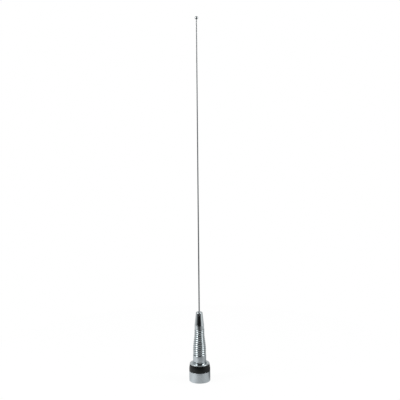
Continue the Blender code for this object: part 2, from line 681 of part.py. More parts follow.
def make_contact_plunger():
    bottom = HOUSING_BOTTOM - BUSHING_BELOW_FLOOR
    tip = bottom - PIN_REACH
    collar = bottom + BUSHING_LIP_THICKNESS + SEAT_GAP
    collar_top = collar + PIN_COLLAR_HEIGHT
    outline = [
        (0, tip),
        (PIN_RADIUS, tip, PIN_NOSE),
        (PIN_RADIUS, collar),
        (PIN_COLLAR_RADIUS, collar),
        (PIN_COLLAR_RADIUS, collar_top),
        (PIN_STEM_RADIUS, collar_top),
        (PIN_STEM_RADIUS, collar_top + PIN_STEM_HEIGHT),
        (0, collar_top + PIN_STEM_HEIGHT),
    ]
    turned("contact_plunger", outline, BRASS, SMALL_SIDES)


def make_contact_spring():
    cavity_bottom = HOUSING_BOTTOM - BUSHING_BELOW_FLOOR + BUSHING_LIP_THICKNESS
    margin = SEAT_GAP + CONTACT_WIRE_RADIUS
    first = cavity_bottom + SEAT_GAP + PIN_COLLAR_HEIGHT + margin
    last = cavity_bottom + BUSHING_CAVITY_HEIGHT - margin
    steps = round(CONTACT_TURNS * WIRE_STEPS)
    points = [
        around(CONTACT_COIL_RADIUS, CONTACT_TURNS * step / steps, first + (last - first) * step / steps)
        for step in range(steps + 1)
    ]
    wire("contact_spring", points, CONTACT_WIRE_RADIUS, STEEL, sides=4)


def make_lower_ferrule():
    """The round collar under the spring, with the grooved spigot that the coils screw on."""
    sleeve_bore = SLEEVE_RADIUS + SEAT_GAP
    spigot = spigot_outline(COLLAR_TOP, LOWER_SPIGOT_TOP)
    outline = [
        (STUD_CLEARANCE_RADIUS, COLLAR_BOTTOM),
        (COLLAR_RADIUS, COLLAR_BOTTOM, COLLAR_EDGE),
        (COLLAR_RADIUS, COLLAR_TOP, COLLAR_EDGE),
        *spigot,
        (sleeve_bore, LOWER_SPIGOT_TOP),
        (sleeve_bore, LOWER_SPIGOT_TOP - SLEEVE_DEPTH - SEAT_GAP),
        (0, LOWER_SPIGOT_TOP - SLEEVE_DEPTH - SEAT_GAP),
        (0, STUD_BORE_TOP),
        (STUD_CLEARANCE_RADIUS, STUD_BORE_TOP),
    ]
    bm = spun(eased(outline), INNER_SIDES)
    inner = (sleeve_bore + spigot[-1][0]) / 2
    outer = COLLAR_RADIUS - COLLAR_EDGE - TINY
    shape_spigot(bm, COLLAR_TOP, LOWER_SPIGOT_TOP, inner, outer)
    add("lower_ferrule", mesh_of("lower_ferrule", bm), CHROME)


def make_upper_ferrule():
    """The conical head that holds the whip, with its own grooved spigot in the spring's top coils."""
    sleeve_bore = SLEEVE_RADIUS + SEAT_GAP
    spigot = spigot_outline(UPPER_SPIGOT_BOTTOM, BAND_BOTTOM)
    outline = [
        (0, UPPER_SPIGOT_BOTTOM + SLEEVE_DEPTH + SEAT_GAP),
        (sleeve_bore, UPPER_SPIGOT_BOTTOM + SLEEVE_DEPTH + SEAT_GAP),
        (sleeve_bore, UPPER_SPIGOT_BOTTOM),
        *spigot,
        (BAND_RADIUS, BAND_BOTTOM, BAND_EDGE),
        (BAND_RADIUS, BAND_TOP, BAND_EDGE),
        (BAND_RADIUS - CONE_STEP, BAND_TOP),
        (NECK_RADIUS, NECK_HEIGHT, CROWN_HEIGHT / 2),
        (CROWN_RADIUS, FERRULE_TOP, CROWN_HEIGHT / 4),
        (WHIP_BORE, FERRULE_TOP),
        (WHIP_BORE, WHIP_SOCKET_BOTTOM),
        (0, WHIP_SOCKET_BOTTOM),
    ]
    bm = spun(eased(outline), INNER_SIDES)
    inner = (sleeve_bore + spigot[0][0]) / 2
    outer = BAND_RADIUS - BAND_EDGE - TINY
    shape_spigot(bm, UPPER_SPIGOT_BOTTOM, BAND_BOTTOM, inner, outer)
    ferrule = add("upper_ferrule", mesh_of("upper_ferrule", bm), CHROME)
    hole_radius = SET_SCREW_RADIUS + SEAT_GAP
    facing = SET_SCREW_SIDES["front"]
    boolean(ferrule, radial_rod("set_screw_hole", facing, -BAND_RADIUS, BAND_RADIUS, hole_radius))


def laid_along_radius(facing):
    """The turn and lift that take a shape from the Z axis to a radius at the set screws' height."""
    lie_down = Matrix.Rotation(FULL_TURN / 4, 4, "Y")
    turn_to_side = Matrix.Rotation(facing * FULL_TURN, 4, "Z")
    return Matrix.Translation((0, 0, SET_SCREW_HEIGHT)) @ turn_to_side @ lie_down


def radial_rod(name, facing, inner, outer, radius, finish=None, chamfer=0.0):
    """A round rod that lies along a radius at the set screws' height."""
    outline = [(0, inner), (radius, inner), (radius, outer - chamfer), (radius - chamfer, outer), (0, outer)]
    if not chamfer:
        outline.pop(3)
    bm = spun([Vector(point) for point in outline], SMALL_SIDES)
    bm.transform(laid_along_radius(facing))
    return add(name, mesh_of(name, bm), finish)


def cone_radius(height):
    """Radius of the upper ferrule's cone at this height."""
    share = (height - BAND_TOP) / CONE_HEIGHT
    foot = BAND_RADIUS - CONE_STEP
    return foot + (NECK_RADIUS - foot) * share


def make_set_screws():
    outer = cone_radius(SET_SCREW_HEIGHT) - SET_SCREW_SINK
    for side, facing in SET_SCREW_SIDES.items():
        screw = radial_rod(
            "set_screw_" + side, facing, WHIP_BORE, outer, SET_SCREW_RADIUS, STEEL, SET_SCREW_CHAMFER
        )
        key_ends = (outer - SET_SCREW_KEY_DEPTH, outer + SET_SCREW_KEY_DEPTH)
        key = hexagon("key_" + side, SET_SCREW_KEY_ACROSS, *key_ends)
        key.data.transform(laid_along_radius(facing))
        boolean(screw, key)


def make_shock_spring():
    """The close-wound spring: one wire, wound on a taper, with its two ends ground flat."""
    steps = round(COIL_TURNS * COIL_STEPS)
    points = []
    for step in range(steps + 1):
        height = COIL_FIRST + (COIL_LAST - COIL_FIRST) * step / steps
        points.append(around(coil_radius(height), COIL_START + COIL_TURNS * step / steps, height))
    spring = wire("shock_spring", points, WIRE_RADIUS, CHROME, sides=8)
    room = 3 * WIRE_RADIUS
    for end, low, high in (("foot", COIL_BOTTOM - room, COIL_BOTTOM), ("head", COIL_TOP, COIL_TOP + room)):
        outline = [(0, low), (2 * COIL_FOOT_RADIUS, low), (2 * COIL_FOOT_RADIUS, high), (0, high)]
        boolean(spring, turned("ground_" + end, outline))


def make_bond_braid():
    """The braid hangs between the ferrules with a little slack, bowed one way and then the other."""
    bottom = LOWER_SPIGOT_TOP - SLEEVE_DEPTH + SEAT_GAP
    top = UPPER_SPIGOT_BOTTOM + SLEEVE_DEPTH - SEAT_GAP
    straight = SLEEVE_LENGTH + SEAT_GAP
    free_bottom = LOWER_SPIGOT_TOP - SLEEVE_DEPTH + straight
    free_top = UPPER_SPIGOT_BOTTOM + SLEEVE_DEPTH - straight
    points = [Vector((0, 0, bottom))]
    for step in range(BRAID_STEPS + 1):
        share = step / BRAID_STEPS
        bow = BRAID_SWAY * math.sin(share * math.pi) ** 2
        height = free_bottom + (free_top - free_bottom) * share
        points.append(Vector((bow * math.cos(share * math.pi), 0, height)))
    points.append(Vector((0, 0, top)))
    wire("bond_braid", points, BRAID_RADIUS, COPPER)


def make_bond_sleeves():
    for side, start in (
        ("lower", LOWER_SPIGOT_TOP - SLEEVE_DEPTH),
        ("upper", UPPER_SPIGOT_BOTTOM + SLEEVE_DEPTH - SLEEVE_LENGTH),
    ):
        outline = [
            (SLEEVE_BORE, start),
            (SLEEVE_RADIUS, start),
            (SLEEVE_RADIUS, start + SLEEVE_LENGTH),
            (SLEEVE_BORE, start + SLEEVE_LENGTH),
        ]
        turned("bond_sleeve_" + side, outline, TINNED_COPPER, SMALL_SIDES)


def make_whip_rod():
    outline = [
        (0, WHIP_BOTTOM),
        (WHIP_FOOT_RADIUS - WHIP_CHAMFER, WHIP_BOTTOM),
        (WHIP_FOOT_RADIUS, WHIP_BOTTOM + WHIP_CHAMFER),
        (WHIP_FOOT_RADIUS, FERRULE_TOP),
        (WHIP_TIP_RADIUS, WHIP_TOP),
        (0, WHIP_TOP),
    ]
    turned("whip_rod", outline, STEEL, SMALL_SIDES)


def make_tip_ball():
    """A ball with a blind hole that the whip's tip is pressed into."""
    bore = WHIP_TIP_RADIUS + SEAT_GAP
    bore_top = WHIP_TOP + SEAT_GAP
    mouth = bore_top - BALL_BORE_DEPTH
    centre = mouth + math.sqrt(BALL_RADIUS**2 - bore**2)
    steps = 8
    first_angle = -math.acos(bore / BALL_RADIUS)
    ball = []
    for step in range(steps + 1):
        angle = first_angle + (math.pi / 2 - first_angle) * step / steps
        ball.append((BALL_RADIUS * math.cos(angle), centre + BALL_RADIUS * math.sin(angle)))
    outline = [(0, bore_top), (bore, bore_top), *ball]
    turned("tip_ball", outline, STEEL, SMALL_SIDES)


def main():
    for old in list(bpy.data.objects):
        bpy.data.objects.remove(old)
    make_skirt()
    make_base_gasket()
    make_thread_ring()
    make_coil_housing()
    make_top_cap()
    make_cap_o_ring()
    make_base_stud()
    make_stud_lug()
    make_stud_nut()
    make_matching_board()
    make_coil_former()
    make_series_coil()
    make_shunt_coil()
    make_chip_capacitor()
    make_contact_bushing()
    make_contact_plunger()
    make_contact_spring()
    make_lower_ferrule()
    make_shock_spring()
    make_upper_ferrule()
    make_set_screws()
    make_bond_braid()
    make_bond_sleeves()
    make_whip_rod()
    make_tip_ball()
    sway = pivot("fore_aft_pivot", FORE_AFT_PIVOT, None, ["shock_spring", "bond_braid"])
    whip_pieces = ["upper_ferrule", "set_screw_front", "set_screw_rear", "bond_sleeve_upper"]
    pivot("side_pivot", SIDE_PIVOT, sway, whip_pieces + ["whip_rod", "tip_ball"])
    pivot("contact_slide", CONTACT_SLIDE_FOOT, None, ["contact_plunger"])


main()
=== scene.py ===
"""Looks of the mobile radio antenna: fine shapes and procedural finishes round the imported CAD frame."""

import json
import math

import bmesh
import bpy
from mathutils import Matrix, Vector


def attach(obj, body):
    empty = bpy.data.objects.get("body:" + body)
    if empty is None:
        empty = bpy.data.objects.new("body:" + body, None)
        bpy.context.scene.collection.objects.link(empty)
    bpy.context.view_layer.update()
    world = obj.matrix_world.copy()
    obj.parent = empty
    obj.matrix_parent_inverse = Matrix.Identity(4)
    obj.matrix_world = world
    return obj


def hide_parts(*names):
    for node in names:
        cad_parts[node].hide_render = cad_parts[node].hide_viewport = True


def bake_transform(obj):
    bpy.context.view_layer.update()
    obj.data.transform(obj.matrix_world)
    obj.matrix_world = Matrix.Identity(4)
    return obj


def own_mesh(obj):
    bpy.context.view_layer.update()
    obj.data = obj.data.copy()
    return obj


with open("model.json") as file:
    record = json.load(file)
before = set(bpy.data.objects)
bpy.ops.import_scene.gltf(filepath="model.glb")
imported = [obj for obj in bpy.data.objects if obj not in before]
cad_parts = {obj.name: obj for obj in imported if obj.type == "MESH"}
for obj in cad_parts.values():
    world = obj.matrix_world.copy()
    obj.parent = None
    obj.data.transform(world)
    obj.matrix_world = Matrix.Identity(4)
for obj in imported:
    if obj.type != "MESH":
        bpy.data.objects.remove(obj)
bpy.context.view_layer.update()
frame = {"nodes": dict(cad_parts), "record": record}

MM = 0.001
INCH = 25.4
FULL_TURN = 2 * math.pi

# Facets
SHELL_SIDES, INNER_SIDES, SMALL_SIDES = 128, 64, 48
FILLET_STEPS = 5
FILLET_SHARE = 0.48  # most of an edge that a fillet takes
COIL_STEPS = 48  # points in one turn of a coil
THREAD_STEP, SPIGOT_STEP = 0.14, 0.16  # millimetres between the rows of a thread and of a groove
FLANK_SLOPE = 1.35  # 1 for a sharp thread, more for one with flat crests
SMOOTH, WIRE_SMOOTH, THREAD_SMOOTH, FLAT_SMOOTH = 35, 50, 25, 10  # most degrees that are shaded smooth

# Sizes in millimetres. The solids' are the CAD source's; edges, threads and chamfers are finer here.
SEAT_GAP = 0.3  # between two pieces that touch
HAIR_EDGE, FINE_EDGE, SMALL_EDGE, RIM_EDGE, END_EDGE = 0.1, 0.15, 0.2, 0.25, 0.3  # fillets
CUT_PAST = 1.0  # how far a cutting shape runs past what it cuts
ON_RADIUS = 0.02  # a point this near to a radius lies on it
BESIDE = 0.05  # between a thread's rows and its chamfers

# Gasket, skirt and thread ring
SKIRT_RADIUS = 18.25
SKIRT_BORE = 16.0
SKIRT_BOTTOM, SKIRT_TOP = 0.4, 18.4
SKIRT_EDGE = 0.9
GASKET_SEAT_RADIUS = 17.2
GASKET_RADIUS = GASKET_SEAT_RADIUS - SEAT_GAP
GASKET_BORE = 15.0
GASKET_HEIGHT = 2.3
GASKET_EDGE = 0.3
LIP_RADIUS = 14.6
LIP_BOTTOM, LIP_TOP = 2.6, 3.6
SPIGOT_RADIUS = SKIRT_BORE - SEAT_GAP
THREAD_RING_BOTTOM, THREAD_RING_TOP = 3.9, 10.4
THREAD_RING_CHAMFER = 0.7
SOCKET_RADIUS = 13.5
MOUNT_THREAD_DEPTH = 0.55  # 18 threads to the inch

# Housing
HOUSING_BOTTOM, HOUSING_SHOULDER, HOUSING_TOP = 10.7, 18.7, 30.9
HOUSING_STRAIGHT = 5.0  # height of the band before it tapers
HOUSING_TOP_RADIUS = 17.15
HOUSING_EDGE = 0.5
HOUSING_FLOOR_TOP = 12.9
HOUSING_LEDGE, LEDGE_RADIUS = 14.3, 13.2
CAVITY_RADIUS = 14.2

# Cap and its hexagon
PLUG_RADIUS = CAVITY_RADIUS - SEAT_GAP
PLUG_BOTTOM = 28.2
O_RING_GROOVE_RADIUS = 12.25
O_RING_GROOVE_BOTTOM, O_RING_GROOVE_TOP = 28.7, 30.7
CAP_BOTTOM, CAP_RIM_TOP, CAP_TOP = 31.2, 32.1, 33.2
CAP_TOP_RADIUS = 15.75
CAP_RIM_EDGE, CAP_TOP_EDGE = 0.45, 0.7
HEX_ACROSS_FLATS = 23.8
HEX_FOOT_RADIUS, HEX_CROWN_RADIUS = 12.8, 12.1  # what its corners are turned to
HEX_ROOT, HEX_TOP = 32.0, 35.6

# Stud, nut and lug
STUD_RADIUS = 3.9
STUD_BORE = STUD_RADIUS + SEAT_GAP
STUD_BOTTOM, STUD_TOP = 22.7, 47.3
STUD_CHAMFER = 0.6
STUD_THREAD_DEPTH = 0.6  # 24 threads to the inch
NUT_ACROSS_FLATS = 12.7
NUT_BOTTOM, NUT_TOP = 23.6, 27.0
NUT_CHAMFER = 0.9

# Board, coils and contact
ON_BOARD = 16.1
FORMER_FLANGE_TOP = 16.9
SERIES_WIRE_RADIUS = 0.4
SERIES_COIL_RADIUS = 5.2
SERIES_TURNS = 3.5
SERIES_COIL_HEIGHT = 3.6
LEAD_RADIUS = 8.1
LEAD_TOP = 27.0
SHUNT_WIRE_RADIUS = 0.35
SHUNT_COIL_RADIUS = 1.8
SHUNT_TURNS = 4
SHUNT_HALF_LENGTH = 2.2
SHUNT_OFFSET = 10.5
BUSHING_RADIUS = 3.2
BUSHING_HOLE = BUSHING_RADIUS + SEAT_GAP
BUSHING_BORE = 2.3
BUSHING_BOTTOM, BUSHING_TOP = 9.9, 19.5
BUSHING_CAVITY_BOTTOM, BUSHING_CAVITY_TOP = 10.6, 18.5
BUSHING_FLANGE_RADIUS = 5.0
PIN_RADIUS = 1.4
PIN_BORE = PIN_RADIUS + SEAT_GAP
PIN_FOOT, PIN_TOP = 8.2, 14.0
PIN_NOSE = 0.6
PIN_COLLAR_RADIUS = 2.0
PIN_COLLAR_BOTTOM, PIN_COLLAR_TOP = 10.9, 12.1
PIN_STEM_RADIUS = 0.9
CONTACT_WIRE_RADIUS = 0.2
CONTACT_COIL_RADIUS = 1.45
CONTACT_COIL_BOTTOM, CONTACT_COIL_TOP = 12.6, 18.0
CONTACT_TURNS = 5.5

# Shock spring
COIL_FIRST, COIL_LAST = 47.0, 94.95
COIL_BOTTOM, COIL_TOP = 47.7, 94.25
COIL_TURNS, COIL_START = 13.7, 0.6
COIL_PITCH = 3.5
COIL_SPLIT = 71.0  # where the wire's two lengths meet
WIRE_RADIUS = 1.6
WIRE_FULLER = 0.08  # the real coils touch, so the wire is drawn this much fuller, inwards
COIL_FOOT_RADIUS, COIL_HEAD_RADIUS = 11.3, 8.7
TAPER_BELOW_BAND = 5.5
GROOVE_DEPTH = 0.7

# Collar below the spring and conical head above it
COLLAR_RADIUS = 11.4
COLLAR_EDGE = 0.35
COLLAR_BOTTOM, COLLAR_TOP = 35.9, 47.4
STUD_BORE_TOP = 48.0
LOWER_SPIGOT_TOP, UPPER_SPIGOT_BOTTOM = 57.025, 84.925
BAND_RADIUS = 8.15
BAND_EDGE = 0.3
BAND_BOTTOM, BAND_TOP = 94.55, 102.55
CONE_STEP = 0.15
NECK_RADIUS, CROWN_RADIUS = 5.7, 5.2
CROWN_HEIGHT = 0.6
HEAD_TOP = 124.95

# Bond braid and its sleeves
BRAID_RADIUS = 1.8
BRAID_SWAY = 2.2  # how far its slack bows out
SLEEVE_BORE = BRAID_RADIUS + SEAT_GAP
SLEEVE_RADIUS = 2.8
SLEEVE_SEAT_RADIUS = SLEEVE_RADIUS + SEAT_GAP
SLEEVE_DEPTH, SLEEVE_LENGTH = 5.4, 8.2

# Whip and set screws
WHIP_BOTTOM, WHIP_TOP = 105.25, 639.85
WHIP_FOOT_RADIUS, WHIP_TIP_RADIUS = 1.27, 0.9
WHIP_CHAMFER = 0.3
WHIP_BORE = WHIP_FOOT_RADIUS + SEAT_GAP
BALL_RADIUS = 2.85
BALL_BORE_DEPTH = 3.6
SET_SCREW_HEIGHT = 121.25
SET_SCREW_RADIUS = 1.9
SET_SCREW_END = 5.55  # how far from the axis its outer end lies
SET_SCREW_KEY_ACROSS, SET_SCREW_KEY_DEPTH = 1.9, 1.8
SET_SCREW_SIDES = {"front": -0.25, "rear": 0.25}  # in turns round from +X

# Geometry helpers. Outlines and paths are in millimetres.


def finish_mesh(name, bm, angle=SMOOTH):
    """Makes an object of bmesh work, its faces out, smooth except at sharp edges."""
    bmesh.ops.recalc_face_normals(bm, faces=bm.faces)
    if bm.calc_volume(signed=True) < 0:
        bmesh.ops.reverse_faces(bm, faces=bm.faces)
    mesh = bpy.data.meshes.new(name)
    bm.to_mesh(mesh)
    bm.free()
    mesh.shade_smooth()
    mesh.set_sharp_from_angle(angle=math.radians(angle))
    made = bpy.data.objects.new(name, mesh)
    bpy.context.scene.collection.objects.link(made)
    return made


def eased(points):
    """An outline of (radius, height) or (radius, height, fillet) points with its fillets drawn as arcs."""
    drawn = []
    for index, (across, up, *fillet) in enumerate(points):
        corner = Vector((across, up))
        if not fillet:
            drawn.append(corner)
            continue
        before = Vector(points[index - 1][:2]) - corner
        after = Vector(points[(index + 1) % len(points)][:2]) - corner
        half_angle = before.angle(after) / 2
        longest = FILLET_SHARE * min(before.length, after.length)
        reach = min(fillet[0] / math.tan(half_angle), longest)
        radius = reach * math.tan(half_angle)
        middle = (before.normalized() + after.normalized()).normalized()
        centre = corner + middle * (radius / math.sin(half_angle))
        first = corner + before.normalized() * reach - centre
        last = corner + after.normalized() * reach - centre
        for step in range(FILLET_STEPS + 1):
            drawn.append(centre + first.lerp(last, step / FILLET_STEPS).normalized() * radius)
    return drawn


def around(radius, turn, height):
    """The point at this radius and height, a share of a turn round from +X."""
    return Vector((radius * math.cos(turn * FULL_TURN), radius * math.sin(turn * FULL_TURN), height))


def lathe(name, outline, sides=SHELL_SIDES, reshape=None, angle=SMOOTH):
    """A solid turned about Z. reshape(turn, radius, height) may give a point its own radius."""
    outline = eased(outline)
    bm = bmesh.new()
    columns = []
    for side in range(sides):
        turn = side / sides
        direction = around(1, turn, 0)
        column = []
        for radius, height in outline:
            if radius < ON_RADIUS:
                column.append(None)
                continue
            across = reshape(turn, radius, height) if reshape else radius
            column.append(bm.verts.new((direction * across + Vector((0, 0, height))) * MM))
        columns.append(column)
    poles = {row: bm.verts.new((0, 0, spot.y * MM)) for row, spot in enumerate(outline) if spot.x < ON_RADIUS}
    for here, there in zip(columns, columns[1:] + columns[:1]):
        for row in range(len(outline)):
            following = (row + 1) % len(outline)
            if row in poles and following in poles:
                continue
            corners = [
                poles.get(row) or here[row],
                poles.get(row) or there[row],
                poles.get(following) or there[following],
                poles.get(following) or here[following],
            ]
            bm.faces.new(list(dict.fromkeys(corners)))
    return finish_mesh(name, bm, angle)


def tube(name, path, radius, sides, clip=None):
    """A round wire along the path with flat ends and a UV map: U along in millimetres, V around.

    clip is the lowest and highest height that the wire keeps where it is ground flat.
    """
    bm = bmesh.new()
    layer = bm.loops.layers.uv.new("UVMap")
    rings, along = [], [0.0]
    ahead = path[1] - path[0]
    across = ahead.orthogonal().normalized()
    for before, point, after in zip(path[:1] + path, path, path[1:] + path[-1:]):
        turn = ahead.rotation_difference(after - before)
        ahead = after - before
        across.rotate(turn)
        up = ahead.cross(across).normalized()
        ring = []
        for side in range(sides):
            corner = FULL_TURN * side / sides
            spot = point + radius * (math.cos(corner) * across + math.sin(corner) * up)
            if clip:
                spot.z = min(max(spot.z, clip[0]), clip[1])
            ring.append(bm.verts.new(spot * MM))
        rings.append(ring)
    for before, after in zip(path, path[1:]):
        along.append(along[-1] + (after - before).length)
    for step, (ring, following) in enumerate(zip(rings, rings[1:])):
        for side in range(sides):
            other = (side + 1) % sides
            face = bm.faces.new((ring[side], ring[other], following[other], following[side]))
            corners = ((step, side), (step, side + 1), (step + 1, side + 1), (step + 1, side))
            for loop, (place, spin) in zip(face.loops, corners):
                loop[layer].uv = (along[place], spin / sides)
    for ring in (rings[0], rings[-1]):
        bm.faces.new(ring)
    return finish_mesh(name, bm, WIRE_SMOOTH)


def bent(points, radius):
    """A path through the points with each inner corner rounded."""
    steps = 8
    path = [points[0]]
    for before, corner, after in zip(points, points[1:], points[2:]):
        reach = min(radius, (before - corner).length / 2, (after - corner).length / 2)
        start = corner + (before - corner).normalized() * reach
        end = corner + (after - corner).normalized() * reach
        for step in range(steps + 1):
            share = step / steps
            path.append(start.lerp(corner, share).lerp(corner.lerp(end, share), share))
    path.append(points[-1])
    return path


def combine(piece, tool, operation="DIFFERENCE", angle=SMOOTH):
    """Cuts, joins or intersects a piece with a tool, which is then gone."""
    step = piece.modifiers.new("combine", "BOOLEAN")
    step.object = tool
    step.operation = operation
    step.solver = "EXACT"
    bpy.context.view_layer.update()
    cut = piece.evaluated_get(bpy.context.evaluated_depsgraph_get())
    mesh = bpy.data.meshes.new_from_object(cut)
    piece.modifiers.clear()
    piece.data = mesh
    bpy.data.objects.remove(tool)
    mesh.set_sharp_from_angle(angle=math.radians(angle))


def hexagon(name, across_flats, bottom, top, edge=0.0, turn=0.0):
    """A hexagonal prism, its first corner this turn round from +X and its upright edges rounded."""
    bm = bmesh.new()
    corner = across_flats / 2 / math.cos(math.pi / 6)
    base = bm.faces.new([bm.verts.new(around(corner, side / 6 + turn, bottom) * MM) for side in range(6)])
    raised = bmesh.ops.extrude_face_region(bm, geom=[base])
    lifted = [item for item in raised["geom"] if isinstance(item, bmesh.types.BMVert)]
    bmesh.ops.translate(bm, verts=lifted, vec=(0, 0, (top - bottom) * MM))
    if edge:
        upright = [item for item in bm.edges if abs(item.verts[0].co.z - item.verts[1].co.z) > 0.1 * MM]
        bmesh.ops.bevel(bm, geom=upright, offset=edge * MM, segments=4, affect="EDGES")
    return finish_mesh(name, bm)


# Shapes that several pieces share


def coil_radius(height):
    """Mean radius of the shock spring at this height: its taper eases in and out between straight ends."""
    taper_top = BAND_BOTTOM - TAPER_BELOW_BAND
    share = min(max((height - LOWER_SPIGOT_TOP) / (taper_top - LOWER_SPIGOT_TOP), 0.0), 1.0)
    taper = (COIL_HEAD_RADIUS - COIL_FOOT_RADIUS) * share * share * (3 - 2 * share)
    return COIL_FOOT_RADIUS + taper - WIRE_RADIUS


def groove_radius(turn, height):
    """Radius of a ferrule's spigot, with the round groove that the spring's wire lies in."""
    phase = FULL_TURN * ((height - COIL_FIRST) / COIL_PITCH - (turn - COIL_START))
    return coil_radius(height) - WIRE_RADIUS - SEAT_GAP + GROOVE_DEPTH * (1 - math.cos(phase)) / 2


def grooved(shoulder):
    """A reshape for lathe: the spring's groove, on what lies inside this radius and between the shoulders."""

    def reshape(turn, radius, height):
        past_sleeve = radius > SLEEVE_SEAT_RADIUS + 2 * SMALL_EDGE
        on_spigot = COLLAR_TOP <= height <= BAND_BOTTOM and past_sleeve and radius < shoulder
        return groove_radius(turn, height) if on_spigot else radius

    return reshape


def spigot(low, high):
    """The outline of a grooved spigot at +X, in rows near enough to follow the groove."""
    return [(groove_radius(0.0, height), height) for height in rows(low, high, SPIGOT_STEP)]


def threaded(own, pitch, depth, low, high, fade, inward=False):
    """A reshape for lathe: a right-hand thread on one radius between two heights, fading at its ends."""

    def reshape(turn, radius, height):
        if abs(radius - own) > ON_RADIUS or not low <= height <= high:
            return radius
        phase = ((height - low) / pitch - turn) % 1
        flank = min(max(FLANK_SLOPE * (2 * abs(phase - 0.5) - 0.5) + 0.5, 0.0), 1.0)
        share = min((height - low) / fade, (high - height) / fade, 1.0)
        return radius + depth * flank * share * (1 if inward else -1)

    return reshape


def rows(low, high, step):
    """Heights from low to high, about a step apart."""
    count = max(round(abs(high - low) / step), 1)
    return [low + (high - low) * index / count for index in range(count + 1)]


def helix(radius, turns, low, high, steps):
    """The points of a coil from low to high, with this many steps in a turn."""
    count = round(turns * steps)
    rise = (high - low) / count
    return [around(radius, turns * step / count, low + rise * step) for step in range(count + 1)]


def along_radius(turn):
    """Lays a shape that stands on Z along a radius at the set screws' height."""
    lie_down = Matrix.Rotation(FULL_TURN / 4, 4, "Y")
    turn_to_side = Matrix.Rotation(turn * FULL_TURN, 4, "Z")
    return Matrix.Translation((0, 0, SET_SCREW_HEIGHT * MM)) @ turn_to_side @ lie_down


# Shader nodes

NOISE_LOW, NOISE_HIGH = 0.3, 0.7  # most of a noise's values lie between these


class Wiring:
    """Adds and joins nodes in the tree of a material or a world."""

    def __init__(self, owner):
        owner.use_nodes = True
        self.nodes = owner.node_tree.nodes
        self.links = owner.node_tree.links

    def join(self, source, target):
        self.links.new(source, target)

    def coordinate(self, kind):
        return self.nodes.new("ShaderNodeTexCoord").outputs[kind]

    def split(self, vector):
        """The outputs X, Y and Z of a vector."""
        node = self.nodes.new("ShaderNodeSeparateXYZ")
        self.join(vector, node.inputs["Vector"])
        return node.outputs

    def calc(self, operation, first, second=None):
        """A sum or function of two sockets or numbers."""
        node = self.nodes.new("ShaderNodeMath")
        node.operation = operation
        for number, item in enumerate((first, second)):
            if isinstance(item, (int, float)):
                node.inputs[number].default_value = item
            elif item is not None:
                self.join(item, node.inputs[number])
        return node.outputs["Value"]

    def ranged(self, value, start, end, low=0.0, high=1.0, interpolation="LINEAR"):
        """The value, taken from the range start to end, as a number from low to high."""
        node = self.nodes.new("ShaderNodeMapRange")
        node.interpolation_type = interpolation
        self.join(value, node.inputs["Value"])
        for name, number in (("From Min", start), ("From Max", end), ("To Min", low), ("To Max", high)):
            node.inputs[name].default_value = number
        return node.outputs["Result"]

    def ramp(self, value, stops):
        """The value as a colour, by stops of (place, colour)."""
        node = self.nodes.new("ShaderNodeValToRGB")
        elements = node.color_ramp.elements
        while len(elements) < len(stops):
            elements.new(0.5)
        for element, (place, colour) in zip(elements, stops):
            element.position = place
            element.color = (*colour, 1)
        self.join(value, node.inputs["Fac"])
        return node.outputs["Color"]

    def by_azimuth(self, vector, stops):
        """A grey by the direction round Z. Stops are (degrees from -Y towards +X, grey) from -180."""
        place = self.split(vector)
        turn = self.calc("ARCTAN2", place["X"], self.calc("MULTIPLY", place["Y"], -1))
        share = self.ranged(turn, -math.pi, math.pi)
        closed = [*stops, (180, stops[0][1])]
        return self.ramp(share, [((degrees + 180) / 360, [grey] * 3) for degrees, grey in closed])

    def blended(self, share, first, second):
        """A colour between two sockets or greys."""
        mix = self.nodes.new("ShaderNodeMix")
        mix.data_type = "RGBA"
        self.join(share, mix.inputs["Factor"])
        for name, item in (("A", first), ("B", second)):
            socket = next(one for one in mix.inputs if one.name == name and one.type == "RGBA")
            if isinstance(item, (int, float)):
                socket.default_value = (item, item, item, 1)
            else:
                self.join(item, socket)
        return next(one for one in mix.outputs if one.type == "RGBA")

    def taking_over(self, value, start, end, first, second):
        """The first colour below the start of a range and the second above its end, eased in between."""
        return self.blended(self.ranged(value, start, end, interpolation="SMOOTHSTEP"), first, second)

    def matt(self, grey):
        node = self.nodes.new("ShaderNodeBsdfDiffuse")
        node.inputs["Color"].default_value = (grey, grey, grey, 1)
        return node.outputs["BSDF"]

    def ray_is(self, *kinds):
        """1 where the ray is any of these kinds."""
        path = self.nodes.new("ShaderNodeLightPath")
        total = path.outputs[kinds[0]]
        for kind in kinds[1:]:
            total = self.calc("MAXIMUM", total, path.outputs[kind])
        return total


